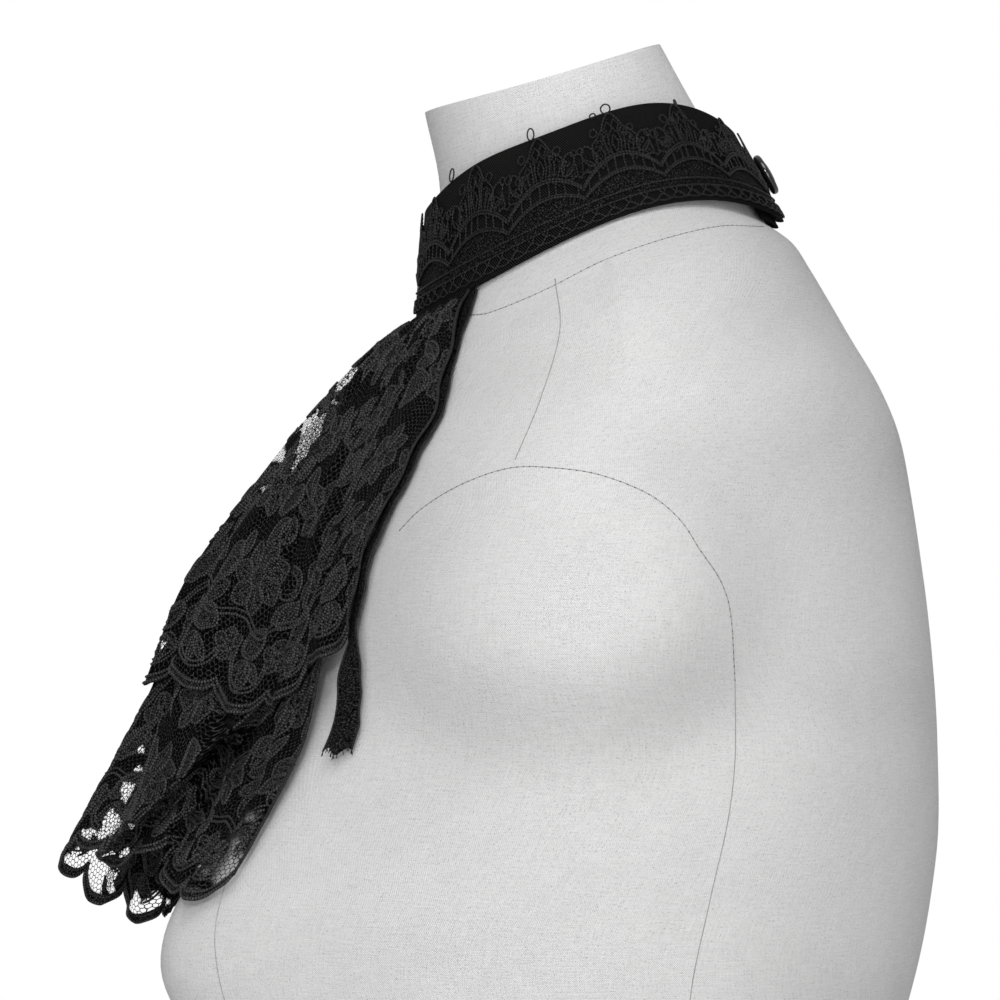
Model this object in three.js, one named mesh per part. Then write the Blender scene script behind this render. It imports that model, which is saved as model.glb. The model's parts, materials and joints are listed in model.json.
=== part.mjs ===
// A lace jabot collar, worn by a plain limbless dress form.
// A stand collar closes at the back of the neck with one button. Two gathered tiers of
// scalloped lace hang from its front edge, with a narrow facing down each side.
//
// Millimetres, +Z up. The wearer faces -Y, and +X is the wearer's left.
// The origin is the middle of the form's flat foot.

import * as THREE from 'three';

// Cloth
const laceWall = 1.2; // a tier of corded lace
const bandWall = 1.6; // twill, interfacing and lining together
const overlayWall = 1.0; // guipure lace sewn over the collar
const seamGap = 0.3;

// Collar
const bandHeight = 36;
const overlayRepeats = 14;
const cellsPerRepeat = 5;
const overlap = 40; // degrees of the collar that lie double at the back
const endOver = 194; // degrees round from the front, where the outer end stops
const tuckFrom = 134; // degrees where the inner end starts to dive under
const underDrop = 2.2; // how far the inner end's lower edge hangs below the outer one's
const underFlare = 1.4;

// Tiers
const hemLobe = 25; // one scallop of the hem, along the edge
const lobeDepth = 7;
const tierSpread = 1.3; // each tier's distance from the middle of the pair
const neckSpread = 0.85; // the same, where both are sewn to the collar
const neckReach = 0.08; // share of the tier over which that spread opens
const gatherCount = 16;
const gatherDepth = 0.35;
const facingWidth = 6.2;
const facingWall = 2;
const tailBottom = 399.5; // height of the facing's free end
const tailAside = 7; // how far that end swings out to the side

// Button
const buttonRadius = 7.5;
const buttonHeight = 3.2;
const buttonAt = 182; // degrees round from the front
const buttonSides = 20;

// Dress form
const formSides = 40;
const bustAside = 78; // half the distance between the two fullest points
const bustHeight = 329;
const bustDepth = 28;
const bustSpread = 34;
const bustRise = 52;
const bustFall = 40;
const stubReach = 29; // how far the padded shoulder end stands out
const stubHeight = 455;
const stubAt = 2;
const stubHalfDepth = 57;
const stubHalfHeight = 46;

const black = new THREE.MeshStandardMaterial({ color: 0x111112, roughness: 0.85, metalness: 0 });
const threadBlack = new THREE.MeshStandardMaterial({ color: 0x0c0c0d, roughness: 0.7, metalness: 0 });
const gloss = new THREE.MeshStandardMaterial({ color: 0x0a0a0b, roughness: 0.2, metalness: 0 });
const linen = new THREE.MeshStandardMaterial({ color: 0xd4d4d2, roughness: 0.95, metalness: 0 });

// Rings of the dress form from the neck top down. Heights at the front, the side and the
// back differ where a ring follows the slope of the neck and shoulders. lift raises the
// quarters between side and back. A front with point over 1 falls away more steeply to the
// sides, as at the collarbones.
const formRings = [
  { frontZ: 616.2, sideZ: 628, backZ: 639.7, frontY: -46.6, backY: 34.5, half: 40, lift: 0, point: 1 },
  { frontZ: 589.7, sideZ: 606.4, backZ: 619, frontY: -41.4, backY: 45.9, half: 44, lift: 0, point: 1 },
  { frontZ: 566, sideZ: 592, backZ: 597, frontY: -44, backY: 59, half: 49.5, lift: 1.5, point: 1 },
  { frontZ: 544.3, sideZ: 574.2, backZ: 577.3, frontY: -47.4, backY: 71.2, half: 55.3, lift: 2.2, point: 1 },
  { frontZ: 538, sideZ: 566, backZ: 571, frontY: -50.5, backY: 80, half: 76, lift: 1.5, point: 1.2 },
  { frontZ: 531, sideZ: 557, backZ: 562, frontY: -53.5, backY: 86, half: 94, lift: 1, point: 1.3 },
  { frontZ: 523, sideZ: 547, backZ: 551, frontY: -57.5, backY: 92.5, half: 110, lift: 0, point: 1.4 },
  { frontZ: 514, sideZ: 535, backZ: 538, frontY: -61.5, backY: 100, half: 123, lift: 0, point: 1.45 },
  { frontZ: 503, sideZ: 520, backZ: 522, frontY: -66.5, backY: 109.5, half: 131.5, lift: 0, point: 1.25 },
  { frontZ: 491, sideZ: 503, backZ: 505, frontY: -71.5, backY: 116.5, half: 137, lift: 0, point: 1.06 },
  { frontZ: 476, sideZ: 480, backZ: 482, frontY: -77.5, backY: 121, half: 141, lift: 0, point: 1 },
  { frontZ: 455, sideZ: 455, backZ: 455, frontY: -85, backY: 125, half: 143, lift: 0, point: 0.98 },
  { frontZ: 443, sideZ: 443, backZ: 443, frontY: -89, backY: 126.5, half: 143.7, lift: 0, point: 1 },
  { frontZ: 430, sideZ: 430, backZ: 430, frontY: -93.5, backY: 127.8, half: 144.5, lift: 0, point: 1 },
  { frontZ: 415, sideZ: 415, backZ: 415, frontY: -98.5, backY: 129, half: 145.5, lift: 0, point: 1.04 },
  { frontZ: 400, sideZ: 400, backZ: 400, frontY: -104, backY: 129.7, half: 146.5, lift: 0, point: 1.08 },
  { frontZ: 370, sideZ: 370, backZ: 370, frontY: -114, backY: 130, half: 148, lift: 0, point: 1.05 },
  { frontZ: 348, sideZ: 348, backZ: 348, frontY: -120, backY: 127.6, half: 148.5, lift: 0, point: 1 },
  { frontZ: 327, sideZ: 327, backZ: 327, frontY: -122.5, backY: 123.8, half: 147, lift: 0, point: 1 },
  { frontZ: 305, sideZ: 305, backZ: 305, frontY: -120, backY: 118, half: 144, lift: 0, point: 1 },
  { frontZ: 280, sideZ: 280, backZ: 280, frontY: -111, backY: 110, half: 138.5, lift: 0, point: 1 },
  { frontZ: 250, sideZ: 250, backZ: 250, frontY: -98, backY: 99.5, half: 132, lift: 0, point: 1 },
  { frontZ: 200, sideZ: 200, backZ: 200, frontY: -83, backY: 86.5, half: 125, lift: 0, point: 1 },
  { frontZ: 150, sideZ: 150, backZ: 150, frontY: -78, backY: 82.5, half: 122.5, lift: 0, point: 1 },
  { frontZ: 100, sideZ: 100, backZ: 100, frontY: -86, backY: 94, half: 135.5, lift: 0, point: 1 },
  { frontZ: 50, sideZ: 50, backZ: 50, frontY: -99, backY: 107.5, half: 153.5, lift: 0, point: 1 },
  { frontZ: 0, sideZ: 0, backZ: 0, frontY: -108, backY: 108, half: 163, lift: 0, point: 1 },
];

// The collar's inner edges, bottom and top. swell is how far the edge rises either side of
// the front.
const bandRings = [
  { frontZ: 545.5, sideZ: 575.5, backZ: 578.6, frontY: -48.1, backY: 75.7, half: 56, lift: 2.2, swell: 0 },
  { frontZ: 581.5, sideZ: 609.5, backZ: 609, frontY: -45, backY: 58.5, half: 50, lift: 2.8, swell: 7 },
];

// Fold lines of the tiers, from the wearer's left to the right. Each line starts at the
// collar (neckX), passes the upper hem (hemX, standing hemOut off the chest, at hemZ) and
// ends at the lower hem (tipX, tipOut, tipZ).
const foldLines = [
  { neckX: 41, hemX: 96, hemOut: 5, hemZ: 434, tipX: 111, tipOut: 8, tipZ: 352 },
  { neckX: 37, hemX: 88, hemOut: 7.5, hemZ: 428, tipX: 98, tipOut: 9, tipZ: 352 },
  { neckX: 32.5, hemX: 79, hemOut: 8, hemZ: 419, tipX: 87, tipOut: 8, tipZ: 358 },
  { neckX: 28, hemX: 70, hemOut: 10, hemZ: 412, tipX: 76, tipOut: 7, tipZ: 363 },
  { neckX: 23.5, hemX: 61, hemOut: 15, hemZ: 410, tipX: 66, tipOut: 12.5, tipZ: 366 },
  { neckX: 18.5, hemX: 50, hemOut: 25, hemZ: 414, tipX: 74, tipOut: 20, tipZ: 366 },
  { neckX: 13.5, hemX: 34, hemOut: 38, hemZ: 423, tipX: 60, tipOut: 29, tipZ: 359 },
  { neckX: 9, hemX: 21, hemOut: 33, hemZ: 427, tipX: 40, tipOut: 41, tipZ: 361 },
  { neckX: 4.5, hemX: 9, hemOut: 30, hemZ: 425, tipX: 19, tipOut: 38, tipZ: 364 },
  { neckX: 0, hemX: -3, hemOut: 45, hemZ: 418, tipX: 0, tipOut: 56, tipZ: 355 },
  { neckX: -4.5, hemX: -14, hemOut: 34, hemZ: 421, tipX: -15, tipOut: 48, tipZ: 347 },
  { neckX: -9, hemX: -23, hemOut: 30, hemZ: 420, tipX: -28, tipOut: 39, tipZ: 341 },
  { neckX: -13.5, hemX: -34, hemOut: 38, hemZ: 416, tipX: -48, tipOut: 33, tipZ: 342 },
  { neckX: -18.5, hemX: -47, hemOut: 31, hemZ: 412, tipX: -66, tipOut: 19, tipZ: 335 },
  { neckX: -23.5, hemX: -58, hemOut: 19, hemZ: 411, tipX: -76, tipOut: 10, tipZ: 330 },
  { neckX: -28, hemX: -68, hemOut: 12, hemZ: 414, tipX: -75, tipOut: 6, tipZ: 336 },
  { neckX: -32.5, hemX: -79, hemOut: 9, hemZ: 422, tipX: -87, tipOut: 8, tipZ: 343 },
  { neckX: -37, hemX: -89, hemOut: 7, hemZ: 430, tipX: -101, tipOut: 7, tipZ: 346 },
  { neckX: -41, hemX: -97, hemOut: 5, hemZ: 436, tipX: -112, tipOut: 8, tipZ: 348 },
];

// How far each stage between the collar and the upper hem has spread sideways, at the
// middle and at the side edges, stood off the chest, and opened its folds.
const stages = [
  { at: 0, aside: 0, edgeAside: 0, out: 0, fold: 0 },
  { at: 0.15, aside: 0.3, edgeAside: 0.37, out: 0.4, fold: 0.06 },
  { at: 0.5, aside: 0.72, edgeAside: 0.93, out: 0.81, fold: 0.42 },
  { at: 0.74, aside: 0.88, edgeAside: 0.99, out: 1.02, fold: 0.7 },
  { at: 1, aside: 1, edgeAside: 1, out: 1, fold: 1 },
];
const crestOut = 38; // stand-off at the middle, folds left out
const edgeOut = 5;
const crestSpread = 46;
const leastOut = 4;

const radians = THREE.MathUtils.degToRad;
const lerp = THREE.MathUtils.lerp;
const smooth = THREE.MathUtils.smoothstep;
const swellAt = radians(48);
const swellSpread = radians(31);

// A smooth curve through a few values at uneven positions.
function through(positions, values, at) {
  const last = positions.length - 1;
  let i = 0;
  while (i < last - 1 && at > positions[i + 1]) i++;
  const slope = (k) => {
    const a = Math.max(k - 1, 0);
    const b = Math.min(k + 1, last);
    return (values[b] - values[a]) / (positions[b] - positions[a]);
  };
  const width = positions[i + 1] - positions[i];
  const t = (at - positions[i]) / width;
  const t2 = t * t;
  const t3 = t2 * t;
  return (2 * t3 - 3 * t2 + 1) * values[i] + (t3 - 2 * t2 + t) * width * slope(i)
    + (3 * t2 - 2 * t3) * values[i + 1] + (t3 - t2) * width * slope(i + 1);
}

// Height of a ring at an angle, with 0 at the front and half a turn at the back.
function ringHeight(ring, angle) {
  const ends = (ring.frontZ + ring.backZ) / 2;
  const mean = (ends + ring.sideZ) / 2;
  const tilt = (ring.frontZ - ring.backZ) / 2 - ring.lift;
  const arch = (ends - ring.sideZ) / 2;
  const around = Math.acos(Math.cos(angle));
  const swell = (ring.swell ?? 0) * Math.exp(-(((around - swellAt) / swellSpread) ** 2));
  return mean + tilt * Math.cos(angle) + arch * Math.cos(2 * angle) + ring.lift * Math.cos(3 * angle) + swell;
}

function ringPoint(ring, angle, out) {
  const middle = (ring.frontY + ring.backY) / 2;
  const depth = (ring.backY - ring.frontY) / 2 + out;
  const x = (ring.half + out) * Math.sin(angle);
  const y = middle - depth * Math.cos(angle);
  return new THREE.Vector3(x, y, ringHeight(ring, angle));
}

function asMesh(name, points, faces, material) {
  const position = new Float32Array(points.length * 3);
  points.forEach((p, i) => p.toArray(position, 3 * i));
  // Faces point out when the volume they enclose is positive.
  let volume = 0;
  for (const [a, b, c] of faces) {
    volume += points[a].dot(new THREE.Vector3().crossVectors(points[b], points[c]));
  }
  const index = faces.flatMap(([a, b, c]) => (volume > 0 ? [a, b, c] : [a, c, b]));
  const geometry = new THREE.BufferGeometry();
  geometry.setAttribute('position', new THREE.BufferAttribute(position, 3));
  geometry.setIndex(index);
  geometry.computeVertexNormals();
  const mesh = new THREE.Mesh(geometry, material);
  mesh.name = name;
  return mesh;
}

// A cloth wall from two grids of points, inner and outer. open(i, j) leaves a cell out, and
// the wall then gets edges round the gap.
function clothWall(name, columns, rows, pointAt, material, open = () => false) {
  const points = [];
  const indexOf = new Map();
  const vertex = (i, j, side) => {
    const key = (side * (columns + 1) + i) * (rows + 1) + j;
    if (!indexOf.has(key)) {
      indexOf.set(key, points.length);
      points.push(pointAt(i, j, side));
    }
    return indexOf.get(key);
  };
  const solid = (i, j) => i >= 0 && j >= 0 && i < columns && j < rows && !open(i, j);
  const faces = [];
  const quad = (a, b, c, d) => faces.push([a, b, c], [a, c, d]);
  const edge = (i0, j0, i1, j1) => {
    quad(vertex(i0, j0, 0), vertex(i1, j1, 0), vertex(i1, j1, 1), vertex(i0, j0, 1));
  };
  for (let i = 0; i < columns; i++) {
    for (let j = 0; j < rows; j++) {
      if (!solid(i, j)) continue;
      quad(vertex(i, j, 1), vertex(i + 1, j, 1), vertex(i + 1, j + 1, 1), vertex(i, j + 1, 1));
      quad(vertex(i, j, 0), vertex(i, j + 1, 0), vertex(i + 1, j + 1, 0), vertex(i + 1, j, 0));
      if (!solid(i, j - 1)) edge(i, j, i + 1, j);
      if (!solid(i + 1, j)) edge(i + 1, j, i + 1, j + 1);
      if (!solid(i, j + 1)) edge(i + 1, j + 1, i, j + 1);
      if (!solid(i - 1, j)) edge(i, j + 1, i, j);
    }
  }
  return asMesh(name, points, faces, material);
}

function formPoint(ring, angle) {
  const p = ringPoint(ring, angle, 0);
  const front = Math.max(Math.cos(angle), 0);
  p.y += (ring.backY - ring.frontY) / 2 * (front - front ** ring.point);
  const rise = (p.z - bustHeight) / (p.z > bustHeight ? bustRise : bustFall);
  const aside = (Math.abs(p.x) - bustAside) / bustSpread;
  p.y -= bustDepth * Math.exp(-rise * rise - aside * aside) * Math.min(1, 2 * front);
  const across = Math.hypot((p.y - stubAt) / stubHalfDepth, (p.z - stubHeight) / stubHalfHeight);
  p.x += Math.sign(p.x) * stubReach * Math.exp(-(across ** 3.5)) * Math.min(1, Math.abs(p.x) / 60) ** 4;
  return p;
}

function makeForm() {
  const points = [];
  const faces = [];
  for (const ring of formRings) {
    for (let i = 0; i < formSides; i++) {
      points.push(formPoint(ring, 2 * Math.PI * i / formSides));
    }
  }
  for (let r = 0; r < formRings.length - 1; r++) {
    for (let i = 0; i < formSides; i++) {
      const a = r * formSides + i;
      const b = r * formSides + (i + 1) % formSides;
      faces.push([a, b, b + formSides], [a, b + formSides, a + formSides]);
    }
  }
  const closeEnd = (first, down) => {
    const middle = new THREE.Vector3();
    for (let i = 0; i < formSides; i++) middle.add(points[first + i]);
    points.push(middle.divideScalar(formSides));
    const hub = points.length - 1;
    for (let i = 0; i < formSides; i++) {
      const a = first + i;
      const b = first + (i + 1) % formSides;
      faces.push(down ? [a, b, hub] : [b, a, hub]);
    }
  };
  closeEnd(0, false);
  closeEnd((formRings.length - 1) * formSides, true);
  return asMesh('dress_form', points, faces, linen);
}

const form = makeForm();
form.material.side = THREE.DoubleSide;
const ray = new THREE.Raycaster();
const towardsBack = new THREE.Vector3(0, 1, 0);
const wellInFront = -400;

// Where the form's front surface lies, at a place across and a height.
function chestY(x, z) {
  ray.set(new THREE.Vector3(x, wellInFront, z), towardsBack);
  const hits = ray.intersectObject(form);
  return hits[0].point.y;
}

// The inner end runs under the outer one, one wall and one gap further in.
function tuck(degrees) {
  const full = bandWall + overlayWall + 2 * seamGap;
  return -full * smooth(-degrees, tuckFrom, tuckFrom + 28);
}

function bandPoint(degrees, height, out) {
  const share = height / bandHeight;
  const ring = {};
  for (const key of Object.keys(bandRings[0])) {
    ring[key] = lerp(bandRings[0][key], bandRings[1][key], share);
  }
  const p = ringPoint(ring, radians(degrees), out + tuck(degrees));
  const under = smooth(-degrees, 150, 176) * (1 - share);
  p.y += underFlare * under;
  p.z -= underDrop * under;
  return p;
}

function makeBand() {
  const columns = 84;
  const start = endOver - 360 - overlap;
  return clothWall('neckband', columns, 1, (i, j, side) => {
    const degrees = lerp(start, endOver, i / columns);
    return bandPoint(degrees, j * bandHeight, side * bandWall);
  }, black);
}

// Guipure lace over the collar: a straight border, arches of two cords with a ladder of
// gaps between them, and a fan with gaps above each arch.
const margin = 1.7;
const archLow = 9.8;
const archRise = 5.1;
const ladder = 3.2;
const ladderRise = 2.2;
const cord = 1.4;
const fanLow = 23.5;
const fanRise = 11.5;
const cellBar = 0.24; // share of a cell's width that stays lace
const firstCell = 1; // the lace starts this many cells into its first arch

function makeOverlay() {
  const columns = overlayRepeats * cellsPerRepeat * 2;
  const start = endOver - 360 + 4;
  const degreesAt = (i) => {
    const cell = Math.floor(i / 2) + (i % 2 ? cellBar : 0);
    return lerp(start, endOver - 1, cell / (overlayRepeats * cellsPerRepeat));
  };
  const heightAt = (i, j) => {
    const cell = Math.floor(i / 2) + (i % 2 ? cellBar : 0);
    const phase = (cell + firstCell - cellBar) / cellsPerRepeat;
    const arch = Math.abs(Math.sin(Math.PI * phase)) ** 0.8;
    const low = archLow + archRise * arch;
    const high = low + ladder + ladderRise * arch;
    const fromCrest = (phase - Math.floor(phase) - 0.5) / 0.2;
    const top = fanLow + fanRise * Math.exp(-(fromCrest ** 2));
    return [margin, low, high, high + cord, top - 3, top][j];
  };
  const isGap = (i, j) => {
    const cell = (Math.floor(i / 2) + firstCell) % cellsPerRepeat;
    return i % 2 === 1 && (j === 1 || (j === 3 && cell > 0 && cell < cellsPerRepeat - 1));
  };
  return clothWall('collar_lace', columns, 5, (i, j, side) => {
    const out = bandWall + seamGap + side * overlayWall;
    return bandPoint(degreesAt(i), heightAt(i, j), out);
  }, threadBlack, isGap);
}

const seamOut = 1.3; // the pair of tiers hangs this far out from the collar's inner edge
const foldStops = foldLines.map((_, k) => k / (foldLines.length - 1));

function foldPath(fold) {
  const angle = Math.asin(fold.neckX / (bandRings[0].half + seamOut));
  const top = ringPoint(bandRings[0], angle, seamOut);
  const topZ = top.z - seamGap;
  const topOut = chestY(top.x, topZ) - top.y;
  const stand = edgeOut + (crestOut - edgeOut) * Math.exp(-((fold.hemX / crestSpread) ** 2));
  const toEdge = (fold.neckX / foldLines[0].neckX) ** 2;
  const path = stages.map((stage) => ({
    at: stage.at,
    x: lerp(fold.neckX, fold.hemX, lerp(stage.aside, stage.edgeAside, toEdge)),
    z: lerp(topZ, fold.hemZ, stage.at),
    out: stage.at === 0 ? topOut : Math.max(leastOut, stand * stage.out + (fold.hemOut - stand) * stage.fold),
  }));
  path.push({ at: 2, x: fold.tipX, z: fold.tipZ, out: fold.tipOut });
  return path;
}

const foldPaths = foldLines.map(foldPath);
const stops = foldPaths[0].map((stop) => stop.at);

// The middle of the pair of tiers. across runs from 0 at the wearer's left to 1, and down
// from 0 at the collar through 1 at the upper hem to 2 at the lower hem.
function clothMiddle(across, down) {
  const value = (key) => through(
    foldStops,
    foldPaths.map((path) => through(stops, path.map((stop) => stop[key]), down)),
    across,
  );
  const x = value('x');
  const z = value('z');
  const wave = 1 + Math.sin(2 * Math.PI * gatherCount * across);
  const gathered = gatherDepth * Math.exp(-down / 0.3) * wave;
  return new THREE.Vector3(x, chestY(x, z) - value('out') - gathered, z);
}

function clothNormal(across, down) {
  const step = 0.004;
  const a = clothMiddle(Math.max(across - step, 0), down);
  const b = clothMiddle(Math.min(across + step, 1), down);
  const c = clothMiddle(across, Math.max(down - step, 0));
  const d = clothMiddle(across, Math.min(down + step, 2));
  const normal = new THREE.Vector3().crossVectors(b.sub(a), d.sub(c)).normalize();
  normal.z *= smooth(down, 0, neckReach);
  return normal.normalize();
}

// Positions across a tier at even distances along its hem.
function evenAcross(from, to, down, count) {
  const fine = 240;
  const marks = [0];
  let before = clothMiddle(from, down);
  for (let i = 1; i <= fine; i++) {
    const here = clothMiddle(lerp(from, to, i / fine), down);
    marks.push(marks[i - 1] + here.distanceTo(before));
    before = here;
  }
  const length = marks[fine];
  const places = [];
  let i = 0;
  for (let k = 0; k <= count; k++) {
    const goal = length * k / count;
    while (i < fine - 1 && marks[i + 1] < goal) i++;
    const part = (goal - marks[i]) / (marks[i + 1] - marks[i]);
    places.push(lerp(from, to, (i + part) / fine));
  }
  return { length, places };
}

function makeTier(name, from, to, hemDown, side, rows, perLobe) {
  const lobes = Math.round(evenAcross(from, to, hemDown, 1).length / hemLobe);
  const columns = lobes * perLobe;
  const { places } = evenAcross(from, to, hemDown, columns);
  const drop = foldLines.length >> 1;
  const dropLength = hemDown === 1 ? foldPaths[drop][0].z - foldLines[drop].hemZ : 66;
  const points = places.map((across, i) => {
    const lobe = Math.sin(Math.PI * (i % perLobe) / perLobe) ** 0.6;
    const end = hemDown - (1 - lobe) * lobeDepth / dropLength;
    return Array.from({ length: rows + 1 }, (_, j) => {
      const down = end * j / rows;
      const normal = clothNormal(across, down);
      const spread = lerp(neckSpread, tierSpread, smooth(down, 0, neckReach));
      return [-1, 1].map((face) => {
        const out = side * spread + face * laceWall / 2;
        return clothMiddle(across, down).addScaledVector(normal, out);
      });
    });
  });
  return clothWall(name, columns, rows, (i, j, face) => points[i][j][face], black);
}

// A strip of raw net beside each side edge of the tiers, with a loose end below the hem.
function makeFacing(name, edge) {
  const rows = 26;
  const away = edge === 0 ? 1 : -1;
  const start = Math.asin(foldLines[0].neckX / (bandRings[0].half + seamOut));
  const hem = clothMiddle(edge, 1);
  return clothWall(name, 2, rows, (i, j, side) => {
    const down = 1.22 * j / rows;
    const aside = 3 * seamGap + laceWall / 2 + facingWidth * i / 2;
    const thickness = (side - 0.5) * facingWall;
    const radius = bandRings[0].half + seamOut;
    const angle = away * (start + (aside + seamGap) / radius);
    const top = ringPoint(bandRings[0], angle, seamOut + thickness);
    top.z -= seamGap;
    const p = clothMiddle(edge, Math.min(1, down));
    p.x += away * (aside + tailAside * smooth(down, 0.9, 1.22));
    if (down > 1) p.z = lerp(hem.z, tailBottom, (down - 1) / 0.22);
    if (i === 1 && j === rows) p.z -= 2;
    p.y = chestY(p.x, p.z) - edgeOut - thickness;
    return top.lerp(p, smooth(down, 0, 0.3));
  }, black);
}

function makeButton() {
  const profile = [
    [0, 0],
    [buttonRadius - 1.2, 0],
    [buttonRadius, 0.9],
    [buttonRadius, 1.7],
    [buttonRadius - 1.3, buttonHeight - 0.6],
    [buttonRadius - 2.1, buttonHeight - 0.9],
    [buttonRadius - 3.5, buttonHeight - 0.2],
    [0, buttonHeight],
  ].map(([x, y]) => new THREE.Vector2(x, y));
  const button = new THREE.Mesh(new THREE.LatheGeometry(profile, buttonSides), gloss);
  button.name = 'back_button';
  const out = bandWall + overlayWall + 2 * seamGap;
  const middle = bandPoint(buttonAt, bandHeight * 0.52, out);
  const along = bandPoint(buttonAt + 1, bandHeight * 0.52, out).sub(middle);
  const up = bandPoint(buttonAt, bandHeight * 0.6, out).sub(middle);
  const normal = new THREE.Vector3().crossVectors(along, up).normalize();
  if (normal.y < 0) normal.negate();
  button.position.copy(middle);
  button.quaternion.setFromUnitVectors(new THREE.Vector3(0, 1, 0), normal);
  return button;
}

const jabot = new THREE.Group();
const inset = 1 / (foldLines.length - 1);
jabot.add(form);
jabot.add(makeBand());
jabot.add(makeOverlay());
jabot.add(makeButton());
jabot.add(makeTier('upper_tier', 0, 1, 1, 1, 9, 5));
jabot.add(makeTier('lower_tier', inset, 1 - inset, 2, -1, 14, 5));
jabot.add(makeFacing('left_facing', 0));
jabot.add(makeFacing('right_facing', 1));

export default jabot;
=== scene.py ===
# A black lace jabot collar on a linen dress form: its looks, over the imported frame.
# Sizes are in millimetres until a mesh is made, and the wearer faces -Y.
import json
import math
import random

import bpy
import numpy as np
from mathutils.bvhtree import BVHTree
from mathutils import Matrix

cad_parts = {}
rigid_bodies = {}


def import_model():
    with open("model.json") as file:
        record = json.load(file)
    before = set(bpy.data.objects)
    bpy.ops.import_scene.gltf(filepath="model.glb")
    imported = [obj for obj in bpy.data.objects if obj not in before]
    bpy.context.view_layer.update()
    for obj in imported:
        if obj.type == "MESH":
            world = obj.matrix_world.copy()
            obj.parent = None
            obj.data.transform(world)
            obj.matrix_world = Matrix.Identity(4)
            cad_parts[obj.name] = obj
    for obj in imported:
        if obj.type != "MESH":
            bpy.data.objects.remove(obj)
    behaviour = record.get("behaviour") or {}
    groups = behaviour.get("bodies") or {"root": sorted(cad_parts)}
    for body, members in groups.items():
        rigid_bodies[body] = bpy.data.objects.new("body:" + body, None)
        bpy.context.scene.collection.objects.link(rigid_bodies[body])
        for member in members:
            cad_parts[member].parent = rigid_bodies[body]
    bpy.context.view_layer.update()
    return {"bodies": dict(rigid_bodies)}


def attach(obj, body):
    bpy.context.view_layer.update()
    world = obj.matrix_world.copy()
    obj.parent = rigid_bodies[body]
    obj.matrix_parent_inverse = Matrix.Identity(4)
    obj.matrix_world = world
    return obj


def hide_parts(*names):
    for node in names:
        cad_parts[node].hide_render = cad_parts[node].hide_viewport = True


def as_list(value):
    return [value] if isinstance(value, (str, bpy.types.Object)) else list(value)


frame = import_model()
body = next(iter(frame["bodies"]))
scene = bpy.context.scene
mm = 0.001
scene.view_settings.view_transform = "Standard"

# Camera, square on to the wearer's left side
view = {"distance": 2.2, "centreY": -0.0207, "centreZ": 0.4828, "width": 0.3448}
lens = bpy.data.cameras.new("camera")
lens.sensor_width = 36
lens.lens = 36 * view["distance"] / view["width"]
lens.clip_end = 20
camera = bpy.data.objects.new("camera", lens)
camera.location = (view["distance"], view["centreY"], view["centreZ"])
camera.rotation_euler = (math.radians(90), 0, math.radians(90))
scene.collection.objects.link(camera)
scene.camera = camera
print("camera set")


# Smooth curves. through() reads one or more rows of values at many places, and paired=True
# reads row n at place n.
def slopesOf(stops, values):
    slopes = np.empty_like(values)
    slopes[..., 1:-1] = (values[..., 2:] - values[..., :-2]) / (stops[2:] - stops[:-2])
    slopes[..., 0] = (values[..., 1] - values[..., 0]) / (stops[1] - stops[0])
    slopes[..., -1] = (values[..., -1] - values[..., -2]) / (stops[-1] - stops[-2])
    return slopes


def through(stops, values, at, paired=False):
    i = np.searchsorted(stops[1:-1], at, side="left")
    width = stops[i + 1] - stops[i]
    t = (at - stops[i]) / width
    slopes = slopesOf(stops, values)

    def pick(table, k):
        return np.take_along_axis(table, k[:, None], 1)[:, 0] if paired else table[..., k]

    return (
        (2 * t**3 - 3 * t**2 + 1) * pick(values, i)
        + (t**3 - 2 * t**2 + t) * width * pick(slopes, i)
        + (3 * t**2 - 2 * t**3) * pick(values, i + 1)
        + (t**3 - t**2) * width * pick(slopes, i + 1)
    )


def ease(x, low, high):
    t = np.clip((x - low) / (high - low), 0, 1)
    return t * t * (3 - 2 * t)


def unit(vectors):
    return vectors / np.maximum(np.linalg.norm(vectors, axis=-1, keepdims=True), 1e-9)


# Length along lines of points, from their first
def runOf(points, axis=0):
    steps = np.linalg.norm(np.diff(points, axis=axis), axis=-1)
    return np.insert(np.cumsum(steps, axis=axis), 0, 0, axis=axis)


# A table read between its entries, at places i across it and j along it
def between(table, i, j):
    i = np.clip(i, 0, table.shape[0] - 1.001)
    j = np.clip(j, 0, table.shape[1] - 1.001)
    a, b = i.astype(int), j.astype(int)
    s, t = i - a, j - b
    if table.ndim == 3:
        s, t = s[:, None], t[:, None]
    low = table[a, b] * (1 - s) + table[a + 1, b] * s
    high = table[a, b + 1] * (1 - s) + table[a + 1, b + 1] * s
    return low * (1 - t) + high * t


# Meshes
def makeObject(name, points, faces, material, smooth=True):
    mesh = bpy.data.meshes.new(name)
    mesh.from_pydata((np.asarray(points) * mm).tolist(), [], faces)
    if smooth:
        mesh.polygons.foreach_set("use_smooth", [True] * len(mesh.polygons))
    if material:
        mesh.materials.append(material)
    thing = bpy.data.objects.new(name, mesh)
    scene.collection.objects.link(thing)
    return thing


def addUv(thing, uvs):
    layer = thing.data.uv_layers.new(name="cloth")
    layer.data.foreach_set("uv", np.asarray(uvs, dtype=np.float32).ravel())


def addValues(thing, name, values):
    layer = thing.data.attributes.new(name, "FLOAT", "POINT")
    layer.data.foreach_set("value", np.asarray(values, dtype=np.float32).ravel())


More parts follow.
